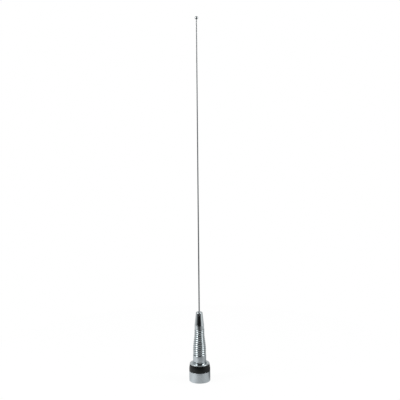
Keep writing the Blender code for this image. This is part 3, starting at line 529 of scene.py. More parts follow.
class Paint(Wiring):
    """A procedural Principled material built node by node."""

    def __init__(self, name, metallic, coordinate="Object"):
        self.material = bpy.data.materials.new(name)
        super().__init__(self.material)
        self.shader = self.nodes["Principled BSDF"]
        self.shader.inputs["Metallic"].default_value = metallic
        self.place = self.coordinate(coordinate)

    def noise(self, scale, detail=4, roughness=0.55, stretch=(1, 1, 1), place=None):
        """Noise of this many repeats to the metre, closer along an axis where the stretch is more than 1."""
        mapped = self.nodes.new("ShaderNodeMapping")
        mapped.inputs["Scale"].default_value = stretch
        self.join(place or self.place, mapped.inputs["Vector"])
        node = self.nodes.new("ShaderNodeTexNoise")
        node.inputs["Scale"].default_value = scale
        node.inputs["Detail"].default_value = detail
        node.inputs["Roughness"].default_value = roughness
        self.join(mapped.outputs["Vector"], node.inputs["Vector"])
        return node.outputs["Fac"]

    def colour(self, value, dark, light):
        """Sets the base colour, which follows the value between two colours."""
        shades = self.ramp(value, ((NOISE_LOW, dark), (NOISE_HIGH, light)))
        self.join(shades, self.shader.inputs["Base Color"])

    def rough(self, value, low, high):
        """Sets the roughness, which follows the value from low to high."""
        self.join(self.ranged(value, NOISE_LOW, NOISE_HIGH, low, high), self.shader.inputs["Roughness"])

    def bump(self, height, depth):
        """Adds a relief of this depth in millimetres."""
        node = self.nodes.new("ShaderNodeBump")
        node.inputs["Distance"].default_value = depth * MM
        self.join(height, node.inputs["Height"])
        self.join(node.outputs["Normal"], self.shader.inputs["Normal"])

    def turned(self, across, along, low, high, depth):
        """Fine lines round a turned piece, by repeats to the metre across and along Z."""
        lines = self.noise(scale=1, roughness=0.7, stretch=(across, across, along))
        self.rough(lines, low, high)
        self.bump(lines, depth)


# Materials


def polished_chrome():
    paint = Paint("polished_chrome", metallic=1)
    paint.colour(paint.noise(scale=90), dark=(0.63, 0.69, 0.71), light=(0.71, 0.775, 0.8))
    smear = paint.noise(scale=260, detail=5, roughness=0.7, stretch=(1, 1, 0.25))
    paint.rough(smear, low=0.045, high=0.11)
    paint.bump(paint.noise(scale=420, detail=2), depth=0.004)
    return paint


def spring_chrome():
    """Bright plating over drawn wire, with faint lines along the wire."""
    paint = Paint("spring_chrome", metallic=1, coordinate="UV")
    cloud = paint.noise(scale=120, place=paint.coordinate("Object"))
    paint.colour(cloud, dark=(0.59, 0.645, 0.665), light=(0.69, 0.755, 0.775))
    drawn = paint.noise(scale=1, detail=3, roughness=0.6, stretch=(0.12, 60, 1))
    paint.rough(drawn, low=0.06, high=0.15)
    paint.bump(drawn, depth=0.006)
    return paint


def satin_chrome():
    """Plating over a turned surface: very fine lines round the part."""
    paint = Paint("satin_chrome", metallic=1)
    paint.colour(paint.noise(scale=70), dark=(0.555, 0.61, 0.64), light=(0.62, 0.68, 0.71))
    paint.turned(across=40, along=9000, low=0.2, high=0.34, depth=0.004)
    return paint


def ground_steel():
    """Centreless ground stainless steel: fine lines round the rod."""
    paint = Paint("ground_steel", metallic=1)
    cloud = paint.noise(scale=45, roughness=0.6, stretch=(1, 1, 0.3))
    paint.colour(cloud, dark=(0.49, 0.52, 0.53), light=(0.58, 0.615, 0.625))
    paint.turned(across=60, along=7000, low=0.18, high=0.32, depth=0.004)
    return paint


def plain_steel():
    paint = Paint("plain_steel", metallic=1)
    paint.colour(paint.noise(scale=300), dark=(0.42, 0.42, 0.43), light=(0.56, 0.565, 0.57))
    paint.rough(paint.noise(scale=900, detail=3), low=0.22, high=0.4)
    paint.bump(paint.noise(scale=1500, detail=3), depth=0.008)
    return paint


def machined_brass():
    paint = Paint("machined_brass", metallic=1)
    paint.colour(paint.noise(scale=150), dark=(0.62, 0.44, 0.17), light=(0.78, 0.6, 0.28))
    paint.turned(across=60, along=6000, low=0.2, high=0.38, depth=0.008)
    return paint


def tinned():
    paint = Paint("tinned", metallic=1)
    cloud = paint.noise(scale=350, detail=5, roughness=0.65)
    paint.colour(cloud, dark=(0.52, 0.5, 0.46), light=(0.7, 0.68, 0.64))
    paint.rough(cloud, low=0.3, high=0.5)
    paint.bump(paint.noise(scale=900), depth=0.015)
    return paint


def enamelled_copper():
    """Copper wire under a clear coat of enamel."""
    paint = Paint("enamelled_copper", metallic=1)
    cloud = paint.noise(scale=400, detail=3)
    paint.colour(cloud, dark=(0.55, 0.2, 0.09), light=(0.72, 0.32, 0.16))
    paint.rough(cloud, low=0.18, high=0.3)
    paint.shader.inputs["Coat Weight"].default_value = 0.7
    paint.shader.inputs["Coat Roughness"].default_value = 0.08
    paint.bump(paint.noise(scale=1200, detail=2), depth=0.004)
    return paint


def copper_braid():
    """Flat bundles of fine wire that cross over and under, from the tube's UV map, with painted shade where
    the weave sinks.
    """
    repeats_to_mm, bundles_round, strands, strand_relief, tallest = 0.55, 4.0, 7, 0.25, 1.2
    paint = Paint("copper_braid", metallic=1, coordinate="UV")
    place = paint.split(paint.place)
    along = paint.calc("MULTIPLY", place["X"], repeats_to_mm)
    spin = paint.calc("MULTIPLY", place["Y"], bundles_round)
    waves = []
    for sign in ("ADD", "SUBTRACT"):
        phase = paint.calc("MULTIPLY", paint.calc(sign, along, spin), FULL_TURN)
        waves.append(paint.calc("SINE", phase))
    weave = paint.calc("MULTIPLY", waves[0], waves[1])
    fine = paint.calc("SINE", paint.calc("MULTIPLY", paint.calc("ADD", along, spin), strands * FULL_TURN))
    height = paint.calc("ADD", weave, paint.calc("MULTIPLY", fine, strand_relief))
    # The weave's height, used for the relief and as painted shade: darker where the strands sink under.
    relief_and_painted_shade = paint.ranged(height, -tallest, tallest)
    paint.colour(relief_and_painted_shade, dark=(0.42, 0.18, 0.09), light=(0.8, 0.44, 0.28))
    paint.rough(paint.noise(scale=5, detail=3), low=0.28, high=0.45)
    paint.bump(relief_and_painted_shade, depth=0.35)
    return paint


def satin_plastic():
    paint = Paint("black_moulding", metallic=0)
    paint.colour(paint.noise(scale=110), dark=(0.003, 0.0042, 0.0038), light=(0.006, 0.0082, 0.0078))
    paint.shader.inputs["Specular IOR Level"].default_value = 0.3
    paint.rough(paint.noise(scale=600, roughness=0.6), low=0.24, high=0.34)
    paint.bump(paint.noise(scale=2600, detail=3), depth=0.006)
    return paint


def rubber():
    paint = Paint("rubber", metallic=0)
    cloud = paint.noise(scale=200, detail=5)
    paint.colour(cloud, dark=(0.018, 0.018, 0.018), light=(0.036, 0.035, 0.034))
    paint.rough(cloud, low=0.55, high=0.8)
    paint.bump(paint.noise(scale=3000), depth=0.02)
    return paint


def white_moulding():
    paint = Paint("white_moulding", metallic=0)
    paint.colour(paint.noise(scale=160), dark=(0.74, 0.735, 0.7), light=(0.83, 0.825, 0.8))
    paint.rough(paint.noise(scale=700), low=0.4, high=0.55)
    paint.bump(paint.noise(scale=2000, detail=3), depth=0.01)
    return paint


def glass_laminate():
    """Green board with the faint square weave of its glass cloth."""
    radians_to_metre = 9000  # a thread every 0.7 mm
    paint = Paint("glass_laminate", metallic=0)
    place = paint.split(paint.place)
    threads = [paint.calc("SINE", paint.calc("MULTIPLY", place[axis], radians_to_metre)) for axis in "XY"]
    weave = paint.ranged(paint.calc("MULTIPLY", *threads), -1.0, 1.0)
    cloud = paint.calc("MULTIPLY", paint.calc("ADD", weave, paint.noise(scale=300)), 0.5)
    paint.colour(cloud, dark=(0.018, 0.1, 0.035), light=(0.035, 0.15, 0.055))
    paint.rough(cloud, low=0.3, high=0.42)
    paint.bump(weave, depth=0.01)
    return paint


def ceramic():
    paint = Paint("ceramic", metallic=0)
    cloud = paint.noise(scale=500, detail=5)
    paint.colour(cloud, dark=(0.48, 0.3, 0.12), light=(0.6, 0.4, 0.18))
    paint.rough(cloud, low=0.35, high=0.55)
    paint.bump(paint.noise(scale=1500), depth=0.02)
    return paint


FINISHES = {
    "chrome": polished_chrome(),
    "spring": spring_chrome(),
    "satin_chrome": satin_chrome(),
    "stainless_steel": ground_steel(),
    "screw_steel": plain_steel(),
    "brass": machined_brass(),
    "copper": enamelled_copper(),
    "braid": copper_braid(),
    "tinned_copper": tinned(),
    "black_rubber": rubber(),
    "black_plastic": satin_plastic(),
    "white_plastic": white_moulding(),
    "board_laminate": glass_laminate(),
    "capacitor_body": ceramic(),
}


def dress(piece, finish):
    """Gives a piece the finish that the record's slot names."""
    piece.data.materials.clear()
    piece.data.materials.append(FINISHES[finish].material)
    return piece


def stand_in(piece, body, finish, node):
    """Dresses a piece that rides on a body in place of a CAD node."""
    dress(piece, finish)
    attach(piece, body)
    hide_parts(node)


# Base


def make_skirt():
    outline = [
        (SKIRT_RADIUS, SKIRT_BOTTOM, SKIRT_EDGE),
        (SKIRT_RADIUS, SKIRT_TOP, RIM_EDGE),
        (SKIRT_BORE, SKIRT_TOP, SMALL_EDGE),
        (SKIRT_BORE, LIP_TOP),
        (LIP_RADIUS, LIP_TOP, FINE_EDGE),
        (LIP_RADIUS, LIP_BOTTOM, FINE_EDGE),
        (GASKET_SEAT_RADIUS, LIP_BOTTOM),
        (GASKET_SEAT_RADIUS, SKIRT_BOTTOM, FINE_EDGE),
    ]
    stand_in(lathe("skirt_shell", outline), "base", "satin_chrome", "skirt")


def make_gasket():
    outline = [
        (GASKET_RADIUS, 0, GASKET_EDGE),
        (GASKET_RADIUS, GASKET_HEIGHT, HAIR_EDGE),
        (GASKET_BORE, GASKET_HEIGHT, HAIR_EDGE),
        (GASKET_BORE, 0, GASKET_EDGE),
    ]
    stand_in(lathe("gasket_ring", outline), "base", "black_rubber", "base_gasket")


def make_thread_ring():
    """The ring that screws onto the vehicle's mount, with its inside thread."""
    low, high = THREAD_RING_BOTTOM + THREAD_RING_CHAMFER, THREAD_RING_TOP - THREAD_RING_CHAMFER
    bore = [(SOCKET_RADIUS, height) for height in rows(high - BESIDE, low + BESIDE, THREAD_STEP)]
    outline = [
        (SPIGOT_RADIUS, THREAD_RING_BOTTOM, SMALL_EDGE),
        (SPIGOT_RADIUS, THREAD_RING_TOP, SMALL_EDGE),
        (SOCKET_RADIUS + THREAD_RING_CHAMFER, THREAD_RING_TOP),
        *bore,
        (SOCKET_RADIUS + THREAD_RING_CHAMFER, THREAD_RING_BOTTOM),
    ]
    thread = threaded(SOCKET_RADIUS, INCH / 18, MOUNT_THREAD_DEPTH, low, high, fade=0.6, inward=True)
    ring = lathe("threaded_ring", outline, reshape=thread, angle=THREAD_SMOOTH)
    stand_in(ring, "base", "brass", "thread_ring")


def make_housing():
    outline = [
        (SPIGOT_RADIUS, HOUSING_BOTTOM, SMALL_EDGE),
        (SPIGOT_RADIUS, HOUSING_SHOULDER),
        (SKIRT_RADIUS, HOUSING_SHOULDER, RIM_EDGE),
        (SKIRT_RADIUS, HOUSING_SHOULDER + HOUSING_STRAIGHT),
        (HOUSING_TOP_RADIUS, HOUSING_TOP, HOUSING_EDGE),
        (CAVITY_RADIUS, HOUSING_TOP, SMALL_EDGE),
        (CAVITY_RADIUS, HOUSING_LEDGE),
        (LEDGE_RADIUS, HOUSING_LEDGE),
        (LEDGE_RADIUS, HOUSING_FLOOR_TOP),
        (BUSHING_HOLE, HOUSING_FLOOR_TOP),
        (BUSHING_HOLE, HOUSING_BOTTOM),
    ]
    stand_in(lathe("insulating_ring", outline), "base", "black_plastic", "coil_housing")


def make_cap():
    """The chromed cap, with the hexagon that a wrench turns joined to its top."""
    outline = [
        (STUD_BORE, PLUG_BOTTOM, SMALL_EDGE),
        (PLUG_RADIUS, PLUG_BOTTOM, SMALL_EDGE),
        (PLUG_RADIUS, O_RING_GROOVE_BOTTOM),
        (O_RING_GROOVE_RADIUS, O_RING_GROOVE_BOTTOM),
        (O_RING_GROOVE_RADIUS, O_RING_GROOVE_TOP),
        (PLUG_RADIUS, O_RING_GROOVE_TOP),
        (PLUG_RADIUS, CAP_BOTTOM),
        (HOUSING_TOP_RADIUS, CAP_BOTTOM, FINE_EDGE),
        (HOUSING_TOP_RADIUS, CAP_RIM_TOP, CAP_RIM_EDGE),
        (CAP_TOP_RADIUS, CAP_TOP, CAP_TOP_EDGE),
        (STUD_BORE, CAP_TOP),
    ]
    cap = lathe("polished_cap", outline)
    nut = hexagon("nut", HEX_ACROSS_FLATS, HEX_ROOT, HEX_TOP)
    foot = HEX_ROOT - CUT_PAST
    cone = [
        (0, foot),
        (HEX_FOOT_RADIUS, foot),
        (HEX_FOOT_RADIUS, CAP_TOP),
        (HEX_CROWN_RADIUS, HEX_TOP, SMALL_EDGE),
        (0, HEX_TOP),
    ]
    combine(nut, lathe("cone", cone), "INTERSECT", FLAT_SMOOTH)
    mouth = 0.4
    bore = [
        (0, foot),
        (STUD_BORE, foot),
        (STUD_BORE, HEX_TOP - mouth),
        (STUD_BORE + 2 * mouth, HEX_TOP + mouth),
        (0, HEX_TOP + mouth),
    ]
    combine(nut, lathe("bore", bore, INNER_SIDES), angle=FLAT_SMOOTH)
    combine(cap, nut, "UNION", FLAT_SMOOTH)
    stand_in(cap, "base", "chrome", "top_cap")


# Spring and ferrules


def make_collar():
    seat = LOWER_SPIGOT_TOP - SLEEVE_DEPTH - SEAT_GAP
    outline = [
        (STUD_BORE, COLLAR_BOTTOM, SMALL_EDGE),
        (COLLAR_RADIUS, COLLAR_BOTTOM, COLLAR_EDGE),
        (COLLAR_RADIUS, COLLAR_TOP, COLLAR_EDGE),
        *spigot(COLLAR_TOP, LOWER_SPIGOT_TOP),
        (SLEEVE_SEAT_RADIUS, LOWER_SPIGOT_TOP, SMALL_EDGE),
        (SLEEVE_SEAT_RADIUS, seat),
        (0, seat),
        (0, STUD_BORE_TOP),
        (STUD_BORE, STUD_BORE_TOP),
    ]
    # The stud's bore ends just above the shoulder, so the groove takes its top corner too and widens it.
    collar = lathe("spring_collar", outline, reshape=grooved(COLLAR_RADIUS - 2 * COLLAR_EDGE))
    stand_in(collar, "base", "satin_chrome", "lower_ferrule")


def make_head():
    """The conical head with its drilled and countersunk screw holes."""
    seat = UPPER_SPIGOT_BOTTOM + SLEEVE_DEPTH + SEAT_GAP
    outline = [
        (0, seat),
        (SLEEVE_SEAT_RADIUS, seat),
        (SLEEVE_SEAT_RADIUS, UPPER_SPIGOT_BOTTOM, SMALL_EDGE),
        *spigot(UPPER_SPIGOT_BOTTOM, BAND_BOTTOM),
        (BAND_RADIUS, BAND_BOTTOM, BAND_EDGE),
        (BAND_RADIUS, BAND_TOP, BAND_EDGE),
        (BAND_RADIUS - CONE_STEP, BAND_TOP),
        (NECK_RADIUS, HEAD_TOP - CROWN_HEIGHT, RIM_EDGE),
        (CROWN_RADIUS, HEAD_TOP, SMALL_EDGE),
        (WHIP_BORE, HEAD_TOP, SMALL_EDGE),
        (WHIP_BORE, WHIP_BOTTOM - SEAT_GAP),
        (0, WHIP_BOTTOM - SEAT_GAP),
    ]
    head = lathe("whip_head", outline, reshape=grooved(BAND_RADIUS - 2 * BAND_EDGE))
    hole, sink, mouth, foot = SET_SCREW_RADIUS + SEAT_GAP, 0.2, 6.0, 0.5
    cut = [(0, foot), (hole, foot), (hole, mouth - sink), (hole + sink, mouth + sink), (0, mouth + sink)]
    for side, turn in SET_SCREW_SIDES.items():
        drill = lathe("drill_" + side, cut, SMALL_SIDES)
        drill.data.transform(along_radius(turn))
        combine(head, drill)
    stand_in(head, "whip", "chrome", "upper_ferrule")


def make_screws():
    """Cup-point set screws with a hexagon socket, each laid along its radius."""
    rim, cup, cup_depth, chamfer, step = 1.3, 0.75, 0.28, 0.25, 0.06
    low, high = 2.1, SET_SCREW_END - 0.3
    shank = [(SET_SCREW_RADIUS, height) for height in rows(low, high, step)]
    outline = [
        (0, WHIP_BORE + cup_depth),
        (cup, WHIP_BORE),
        (rim, WHIP_BORE),
        (SET_SCREW_RADIUS, low - BESIDE),
        *shank,
        (SET_SCREW_RADIUS - chamfer, SET_SCREW_END, 0.05),
        (0, SET_SCREW_END),
    ]
    thread = threaded(SET_SCREW_RADIUS, pitch=0.5, depth=0.28, low=low, high=high, fade=0.3)
    for side, turn in SET_SCREW_SIDES.items():
        screw = lathe("grub_screw_" + side, outline, SMALL_SIDES, thread, THREAD_SMOOTH)
        key_foot = SET_SCREW_END - SET_SCREW_KEY_DEPTH
        combine(screw, hexagon("key", SET_SCREW_KEY_ACROSS, key_foot, SET_SCREW_END + CUT_PAST))
        screw.data.transform(along_radius(turn))
        stand_in(screw, "whip", "screw_steel", "set_screw_" + side)


def in_two(name, points, split, radius, sides, finish, ground=None):
    """A wire made in two lengths that meet at the split point."""
    lower = tube(name + "_lower", points[: split + 1], radius, sides, ground)
    upper = tube(name + "_upper", points[split:], radius, sides, ground)
    return dress(lower, finish), dress(upper, finish)


def make_spring():
    """The close-wound wire, with its ends ground flat."""
    steps = round(COIL_TURNS * COIL_STEPS)
    points = []
    for step in range(steps + 1):
        height = COIL_FIRST + (COIL_LAST - COIL_FIRST) * step / steps
        turn = COIL_START + COIL_TURNS * step / steps
        points.append(around(coil_radius(height) - WIRE_FULLER, turn, height))
    split = round(steps * (COIL_SPLIT - COIL_FIRST) / (COIL_LAST - COIL_FIRST))
    size, sides, ground = WIRE_RADIUS + WIRE_FULLER, 20, (COIL_BOTTOM, COIL_TOP)
    lower, upper = in_two("spring", points, split, size, sides, "spring", ground)
    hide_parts("shock_spring")
    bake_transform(lower)
    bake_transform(upper)


def make_braid():
    """The copper braid inside the spring, with some slack."""
    straight = SLEEVE_LENGTH - SLEEVE_DEPTH + SEAT_GAP
    low, high = LOWER_SPIGOT_TOP + straight, UPPER_SPIGOT_BOTTOM - straight
    steps, sides = 72, 24
    points = [Vector((0, 0, LOWER_SPIGOT_TOP - SLEEVE_DEPTH + SEAT_GAP))]
    for step in range(steps + 1):
        share = step / steps
        bow = BRAID_SWAY * math.sin(share * math.pi) ** 2
        points.append(Vector((bow * math.cos(share * math.pi), 0, low + (high - low) * share)))
    points.append(Vector((0, 0, UPPER_SPIGOT_BOTTOM + SLEEVE_DEPTH - SEAT_GAP)))
    lower, upper = in_two("braid", points, len(points) // 2, BRAID_RADIUS, sides, "braid")
    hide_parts("bond_braid")
    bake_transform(lower)
    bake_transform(upper)


def make_sleeves():
    """Crimp sleeves, each squeezed in two places."""
    places, width, depth, oval, plain_end, step = (2.6, 5.6), 0.55, 0.35, 0.4, 0.15, 0.203
    lower_start = LOWER_SPIGOT_TOP - SLEEVE_DEPTH
    upper_start = UPPER_SPIGOT_BOTTOM + SLEEVE_DEPTH - SLEEVE_LENGTH
    for side, body, start in (("lower", "base", lower_start), ("upper", "whip", upper_start)):
        end = start + SLEEVE_LENGTH
        outline = [
            (SLEEVE_BORE, start),
            (SLEEVE_RADIUS, start, HAIR_EDGE),
            *[(SLEEVE_RADIUS, height) for height in rows(start + plain_end, end - plain_end, step)],
            (SLEEVE_RADIUS, end, HAIR_EDGE),
            (SLEEVE_BORE, end),
        ]

        def crimped(turn, radius, height, start=start):
            if radius < SLEEVE_RADIUS - HAIR_EDGE:
                return radius
            reaches = [(height - start - place) / width for place in places]
            dents = sum(math.exp(-(reach**2)) for reach in reaches)
            return radius - depth * dents * (1 - oval + oval * math.cos(2 * FULL_TURN * turn))

        piece = lathe("crimp_sleeve_" + side, outline, SMALL_SIDES, crimped)
        stand_in(piece, body, "tinned_copper", "bond_sleeve_" + side)


# Whip


def make_whip():
    """The rod, straight in the head and tapered above it, and the ball on its tip."""
    steps, sides = 40, 40
    outline = [
        (0, WHIP_BOTTOM),
        (WHIP_FOOT_RADIUS - WHIP_CHAMFER, WHIP_BOTTOM),
        (WHIP_FOOT_RADIUS, WHIP_BOTTOM + WHIP_CHAMFER),
    ]
    for step in range(steps + 1):
        share = step / steps
        radius = WHIP_FOOT_RADIUS - (WHIP_FOOT_RADIUS - WHIP_TIP_RADIUS) * share
        outline.append((radius, HEAD_TOP + (WHIP_TOP - HEAD_TOP) * share))
    outline.append((0, WHIP_TOP))
    stand_in(lathe("tapered_whip", outline, sides), "whip", "stainless_steel", "whip_rod")
    bore, bore_top = WHIP_TIP_RADIUS + SEAT_GAP, WHIP_TOP + SEAT_GAP
    centre = bore_top - BALL_BORE_DEPTH + math.sqrt(BALL_RADIUS**2 - bore**2)
    first = -math.acos(bore / BALL_RADIUS)
    steps = 24
    ball = [(0, bore_top), (bore, bore_top)]
    for step in range(steps):
        angle = first + (math.pi / 2 - first) * step / steps
        ball.append((BALL_RADIUS * math.cos(angle), centre + BALL_RADIUS * math.sin(angle)))
    ball.append((0, centre + BALL_RADIUS))
    stand_in(lathe("whip_ball", ball, SMALL_SIDES), "whip", "stainless_steel", "tip_ball")


# Inside the base


def make_stud():
    low, high = STUD_BOTTOM + STUD_CHAMFER, STUD_TOP - STUD_CHAMFER
    shank = [(STUD_RADIUS, height) for height in rows(low, high, THREAD_STEP)]
    end = STUD_RADIUS - STUD_CHAMFER
    outline = [(0, STUD_BOTTOM), (end, STUD_BOTTOM), *shank, (end, STUD_TOP), (0, STUD_TOP)]
    thread = threaded(STUD_RADIUS, INCH / 24, STUD_THREAD_DEPTH, low, high, fade=0.5)
    stud = lathe("threaded_stud", outline, INNER_SIDES, thread, THREAD_SMOOTH)
    stand_in(stud, "base", "screw_steel", "base_stud")


def make_nut():
    nut = hexagon("lock_nut", NUT_ACROSS_FLATS, NUT_BOTTOM, NUT_TOP, SMALL_EDGE, turn=1 / 12)
    face, past_corners = NUT_ACROSS_FLATS / 2, 7.9
    ends = [
        (0, NUT_BOTTOM),
        (face, NUT_BOTTOM, HAIR_EDGE),
        (past_corners, NUT_BOTTOM + NUT_CHAMFER),
        (past_corners, NUT_TOP - NUT_CHAMFER),
        (face, NUT_TOP, HAIR_EDGE),
        (0, NUT_TOP),
    ]
    combine(nut, lathe("nut_ends", ends, INNER_SIDES), "INTERSECT", angle=20)
    low, high = NUT_BOTTOM - CUT_PAST, NUT_TOP + CUT_PAST
    combine(nut, lathe("nut_bore", [(0, low), (STUD_BORE, low), (STUD_BORE, high), (0, high)], INNER_SIDES))
    stand_in(nut, "base", "brass", "stud_nut")


def make_coils():
    """The series coil, led from the board up to the lug, and the shunt coil that lies on the board."""
    bend, sides = 0.8, 12
    first = FORMER_FLANGE_TOP + SEAT_GAP + SERIES_WIRE_RADIUS
    last = first + SERIES_COIL_HEIGHT
    turns = helix(SERIES_COIL_RADIUS, SERIES_TURNS, first, last, COIL_STEPS)
    foot = bent([around(LEAD_RADIUS, 0, ON_BOARD), around(LEAD_RADIUS, 0, first), turns[0]], bend)
    head = bent([turns[-1], around(LEAD_RADIUS, 0.5, last), around(LEAD_RADIUS, 0.5, LEAD_TOP)], bend)
    series = tube("series_winding", foot[:-1] + turns + head[1:], SERIES_WIRE_RADIUS, sides)
    stand_in(series, "base", "copper", "series_coil")
    middle = ON_BOARD + SHUNT_COIL_RADIUS + 2 * SHUNT_WIRE_RADIUS
    steps = 40 * SHUNT_TURNS
    turns = []
    for step in range(steps + 1):
        angle = FULL_TURN * SHUNT_TURNS * step / steps
        along = SHUNT_HALF_LENGTH * (2 * step / steps - 1)
        across = SHUNT_OFFSET + SHUNT_COIL_RADIUS * math.cos(angle)
        turns.append(Vector((along, across, middle + SHUNT_COIL_RADIUS * math.sin(angle))))
    legs = [Vector((side * SHUNT_HALF_LENGTH, turns[0].y, ON_BOARD)) for side in (-1, 1)]
    shunt = tube("shunt_winding", [legs[0], *turns, legs[1]], SHUNT_WIRE_RADIUS, sides)
    stand_in(shunt, "base", "copper", "shunt_coil")


def make_contact():
    """The sprung pin that touches the mount's contact, with its bushing and spring."""
    flange_bottom, flange_top = HOUSING_FLOOR_TOP + SEAT_GAP, HOUSING_LEDGE
    bushing = [
        (PIN_BORE, BUSHING_BOTTOM),
        (BUSHING_RADIUS, BUSHING_BOTTOM, SMALL_EDGE),
        (BUSHING_RADIUS, flange_bottom),
        (BUSHING_FLANGE_RADIUS, flange_bottom, FINE_EDGE),
        (BUSHING_FLANGE_RADIUS, flange_top, FINE_EDGE),
        (BUSHING_RADIUS, flange_top),
        (BUSHING_RADIUS, BUSHING_TOP, END_EDGE),
        (0, BUSHING_TOP),
        (0, BUSHING_CAVITY_TOP),
        (BUSHING_BORE, BUSHING_CAVITY_TOP),
        (BUSHING_BORE, BUSHING_CAVITY_BOTTOM),
        (PIN_BORE, BUSHING_CAVITY_BOTTOM),
    ]
    stand_in(lathe("contact_tube", bushing, INNER_SIDES), "base", "brass", "contact_bushing")
    pin = [
        (0, PIN_FOOT),
        (PIN_RADIUS, PIN_FOOT, PIN_NOSE),
        (PIN_RADIUS, PIN_COLLAR_BOTTOM),
        (PIN_COLLAR_RADIUS, PIN_COLLAR_BOTTOM, HAIR_EDGE),
        (PIN_COLLAR_RADIUS, PIN_COLLAR_TOP, HAIR_EDGE),
        (PIN_STEM_RADIUS, PIN_COLLAR_TOP),
        (PIN_STEM_RADIUS, PIN_TOP, END_EDGE),
        (0, PIN_TOP),
    ]
    stand_in(lathe("contact_pin", pin, SMALL_SIDES), "contact", "brass", "contact_plunger")
    steps, sides = 36, 10
    path = helix(CONTACT_COIL_RADIUS, CONTACT_TURNS, CONTACT_COIL_BOTTOM, CONTACT_COIL_TOP, steps)
    spring = tube("contact_coil", path, CONTACT_WIRE_RADIUS, sides)
    dress(spring, "screw_steel")
    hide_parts("contact_spring")
    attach(spring, "base")
    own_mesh(spring)


# Stage, in metres. Directions are in degrees from -Y, where the camera is, towards +X.

SEEN_RAYS = ("Is Camera Ray", "Is Glossy Ray", "Is Transmission Ray")
FLOOR_RADIUS = 0.42
FLOOR_SEEN = 0.935  # what the camera sees of it
FLOOR_LIT = 0.8  # how it spreads light onto the object
FLOOR_FAINT = 0.075  # what the lights add to what camera and metal see of it
SOFTBOX_SIZE = (0.5, 1.1)
SOFTBOX_LIFT = 36  # degrees above the floor
SOFTBOX_DISTANCE = 1.3
SOFTBOX_AIM = 0.08  # the height that it points at
CAMERA_PLACE = (0, -3.4, 1.2611795)
CAMERA_LENS, CAMERA_SENSOR = 186.765, 36
CAMERA_TILT, CAMERA_TURN, CAMERA_ROLL = 15.3863, -0.0535, -0.531


def make_world():
    """White behind the object. Metal shows white paper behind and at the sides and a dark room in front."""
    low_stops = [
        (-180, 0.45), (-140, 0.55), (-110, 0.62), (-74, 0.3), (-58, 0.13), (-44, 0.05), (-28, 0.012),
        (0, 0.01), (34, 0.012), (44, 0.12), (53, 0.5), (64, 0.7), (76, 0.83), (88, 0.7), (104, 0.56),
        (140, 0.48),
    ]
    high_stops = [
        (-180, 0.6), (-150, 0.65), (-128, 0.45), (-108, 0.3), (-88, 0.42), (-50, 0.2), (-20, 0.04),
        (0, 0.03), (20, 0.04), (50, 0.15), (88, 0.3), (108, 0.12), (128, 0.25), (150, 0.55),
    ]
    top_stops = [
        (-180, 0.4), (-140, 0.45), (-120, 0.8), (-80, 0.9), (-62, 0.3), (-40, 0.12),
        (0, 0.06), (40, 0.12), (62, 0.3), (80, 0.9), (120, 0.8), (140, 0.45),
    ]
    overhead, behind, on_matt_surfaces = 0.12, 1.0, 0.55
    world = bpy.data.worlds.new("studio")
    bpy.context.scene.world = world
    tree = Wiring(world)
    direction = tree.coordinate("Generated")
    height = tree.split(direction)["Z"]
    low = tree.by_azimuth(direction, low_stops)
    high = tree.by_azimuth(direction, high_stops)
    top = tree.by_azimuth(direction, top_stops)
    room = tree.taking_over(height, 0.1, 0.42, low, high)
    room = tree.taking_over(height, 0.66, 0.78, room, top)
    room = tree.taking_over(height, 0.86, 0.94, room, overhead)
    room = tree.blended(tree.ray_is("Is Camera Ray"), room, behind)
    colour = tree.blended(tree.ray_is(*SEEN_RAYS), on_matt_surfaces, room)
    tree.join(colour, tree.nodes["Background"].inputs["Color"])


def painted_floor_light(tree):
    """What the camera and the metal see of the floor: even paper to the camera; to the metal, painted light
    and painted shade in zones round the object.
    """
    # Painted light and shade close round the base: lit at the left, with the object's painted shadow behind
    # it at the right.
    close_stops = [
        (-180, 0.5), (-110, 0.66), (-80, 0.74), (-60, 0.82), (-37, 0.72), (-15, 0.52), (0, 0.46),
        (20, 0.44), (40, 0.52), (60, 0.54), (80, 0.52), (95, 0.38), (112, 0.16), (135, 0.1),
    ]
    # Painted shade: a dark ring in front, which the hexagon's front flat reflects.
    dark_stops = [
        (-180, 0.5), (-110, 0.7), (-80, 0.75), (-62, 0.92), (-42, 0.92), (-30, 0.6), (-20, 0.02),
        (0, 0.02), (20, 0.02), (30, 0.3), (48, 0.33), (70, 0.42), (92, 0.38), (125, 0.25),
    ]
    near_stops = [
        (-180, 0.5), (-110, 0.7), (-80, 0.75), (-62, 0.95), (-42, 0.95), (-24, 0.74), (-6, 0.68),
        (11, 0.62), (29, 0.38), (48, 0.37), (70, 0.5), (92, 0.45), (125, 0.25),
    ]
    far_stops = [
        (-180, 0.5), (-125, 0.5), (-85, 0.75), (-55, 0.6), (-30, 0.05),
        (0, 0.0), (20, 0.02), (45, 0.28), (73, 0.45), (107, 0.45),
    ]
    place = tree.coordinate("Object")
    reach = tree.nodes.new("ShaderNodeVectorMath")
    reach.operation = "LENGTH"
    tree.join(place, reach.inputs[0])
    distance = reach.outputs["Value"]
    # Painted light and shade on the floor, zone by zone outward from the base, for the metal to reflect.
    painted_light = tree.by_azimuth(place, close_stops)
    painted_light = tree.taking_over(distance, 0.09, 0.102, painted_light, tree.by_azimuth(place, dark_stops))
    painted_light = tree.taking_over(distance, 0.108, 0.114, painted_light, tree.by_azimuth(place, near_stops))
    painted_light = tree.taking_over(distance, 0.135, 0.21, painted_light, tree.by_azimuth(place, far_stops))
    return tree.blended(tree.ray_is("Is Camera Ray"), painted_light, FLOOR_SEEN)


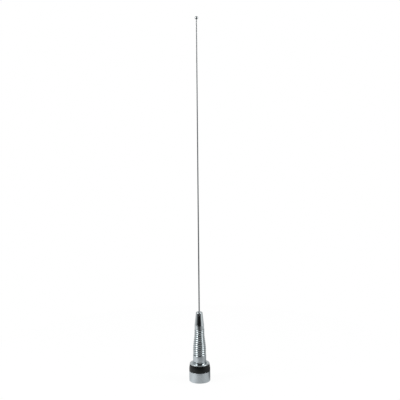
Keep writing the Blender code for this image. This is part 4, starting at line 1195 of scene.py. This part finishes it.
def make_floor():
    bm = bmesh.new()
    bmesh.ops.create_circle(bm, cap_ends=True, segments=96, radius=FLOOR_RADIUS)
    floor = finish_mesh("floor", bm)
    paper = bpy.data.materials.new("pale_paper_painted_light")
    tree = Wiring(paper)
    tree.nodes.clear()
    # The glow paints light and shade on the floor for metal rays; the camera sees it evenly pale.
    shine = tree.nodes.new("ShaderNodeEmission")
    tree.join(painted_floor_light(tree), shine.inputs["Color"])
    both = tree.nodes.new("ShaderNodeAddShader")
    tree.join(shine.outputs["Emission"], both.inputs[0])
    tree.join(tree.matt(FLOOR_FAINT), both.inputs[1])
    mix = tree.nodes.new("ShaderNodeMixShader")
    tree.join(tree.ray_is(*SEEN_RAYS), mix.inputs["Fac"])
    tree.join(tree.matt(FLOOR_LIT), mix.inputs[1])
    tree.join(both.outputs["Shader"], mix.inputs[2])
    tree.join(mix.outputs["Shader"], tree.nodes.new("ShaderNodeOutputMaterial").inputs["Surface"])
    floor.data.materials.append(paper)


def make_lights():
    for name, azimuth, strength in (("left", -65, 3.7), ("right", 73, 2.8)):
        light = bpy.data.lights.new("softbox_" + name, "AREA")
        light.shape = "RECTANGLE"
        light.size, light.size_y = SOFTBOX_SIZE
        light.energy = strength * math.pi * light.size * light.size_y
        lamp = bpy.data.objects.new("softbox_" + name, light)
        bpy.context.scene.collection.objects.link(lamp)
        turn, lift = math.radians(azimuth), math.radians(SOFTBOX_LIFT)
        away = Vector((math.sin(turn) * math.cos(lift), -math.cos(turn) * math.cos(lift), math.sin(lift)))
        lamp.location = away * SOFTBOX_DISTANCE + Vector((0, 0, SOFTBOX_AIM))
        lamp.rotation_euler = away.to_track_quat("Z", "Y").to_euler()


def make_camera():
    camera = bpy.data.cameras.new("camera")
    camera.lens = CAMERA_LENS
    camera.sensor_width = CAMERA_SENSOR
    camera.clip_end = 100
    holder = bpy.data.objects.new("camera", camera)
    bpy.context.scene.collection.objects.link(holder)
    turn = Matrix.Rotation(math.radians(CAMERA_TURN), 4, "Z")
    tilt = Matrix.Rotation(math.radians(90 - CAMERA_TILT), 4, "X")
    roll = Matrix.Rotation(math.radians(CAMERA_ROLL), 4, "Z")
    holder.matrix_world = Matrix.Translation(CAMERA_PLACE) @ turn @ tilt @ roll
    bpy.context.scene.camera = holder


make_camera()
make_world()
make_floor()
make_lights()
make_skirt()
make_gasket()
make_thread_ring()
make_housing()
make_cap()
make_collar()
make_head()
make_screws()
make_spring()
make_braid()
make_sleeves()
make_whip()
make_stud()
make_nut()
make_coils()
make_contact()
for row in frame["record"]["subparts"]:
    node = frame["nodes"][row["node"]]
    if not node.hide_render:
        dress(node, row["material_slot"])
bpy.context.scene.view_settings.view_transform = "Standard"
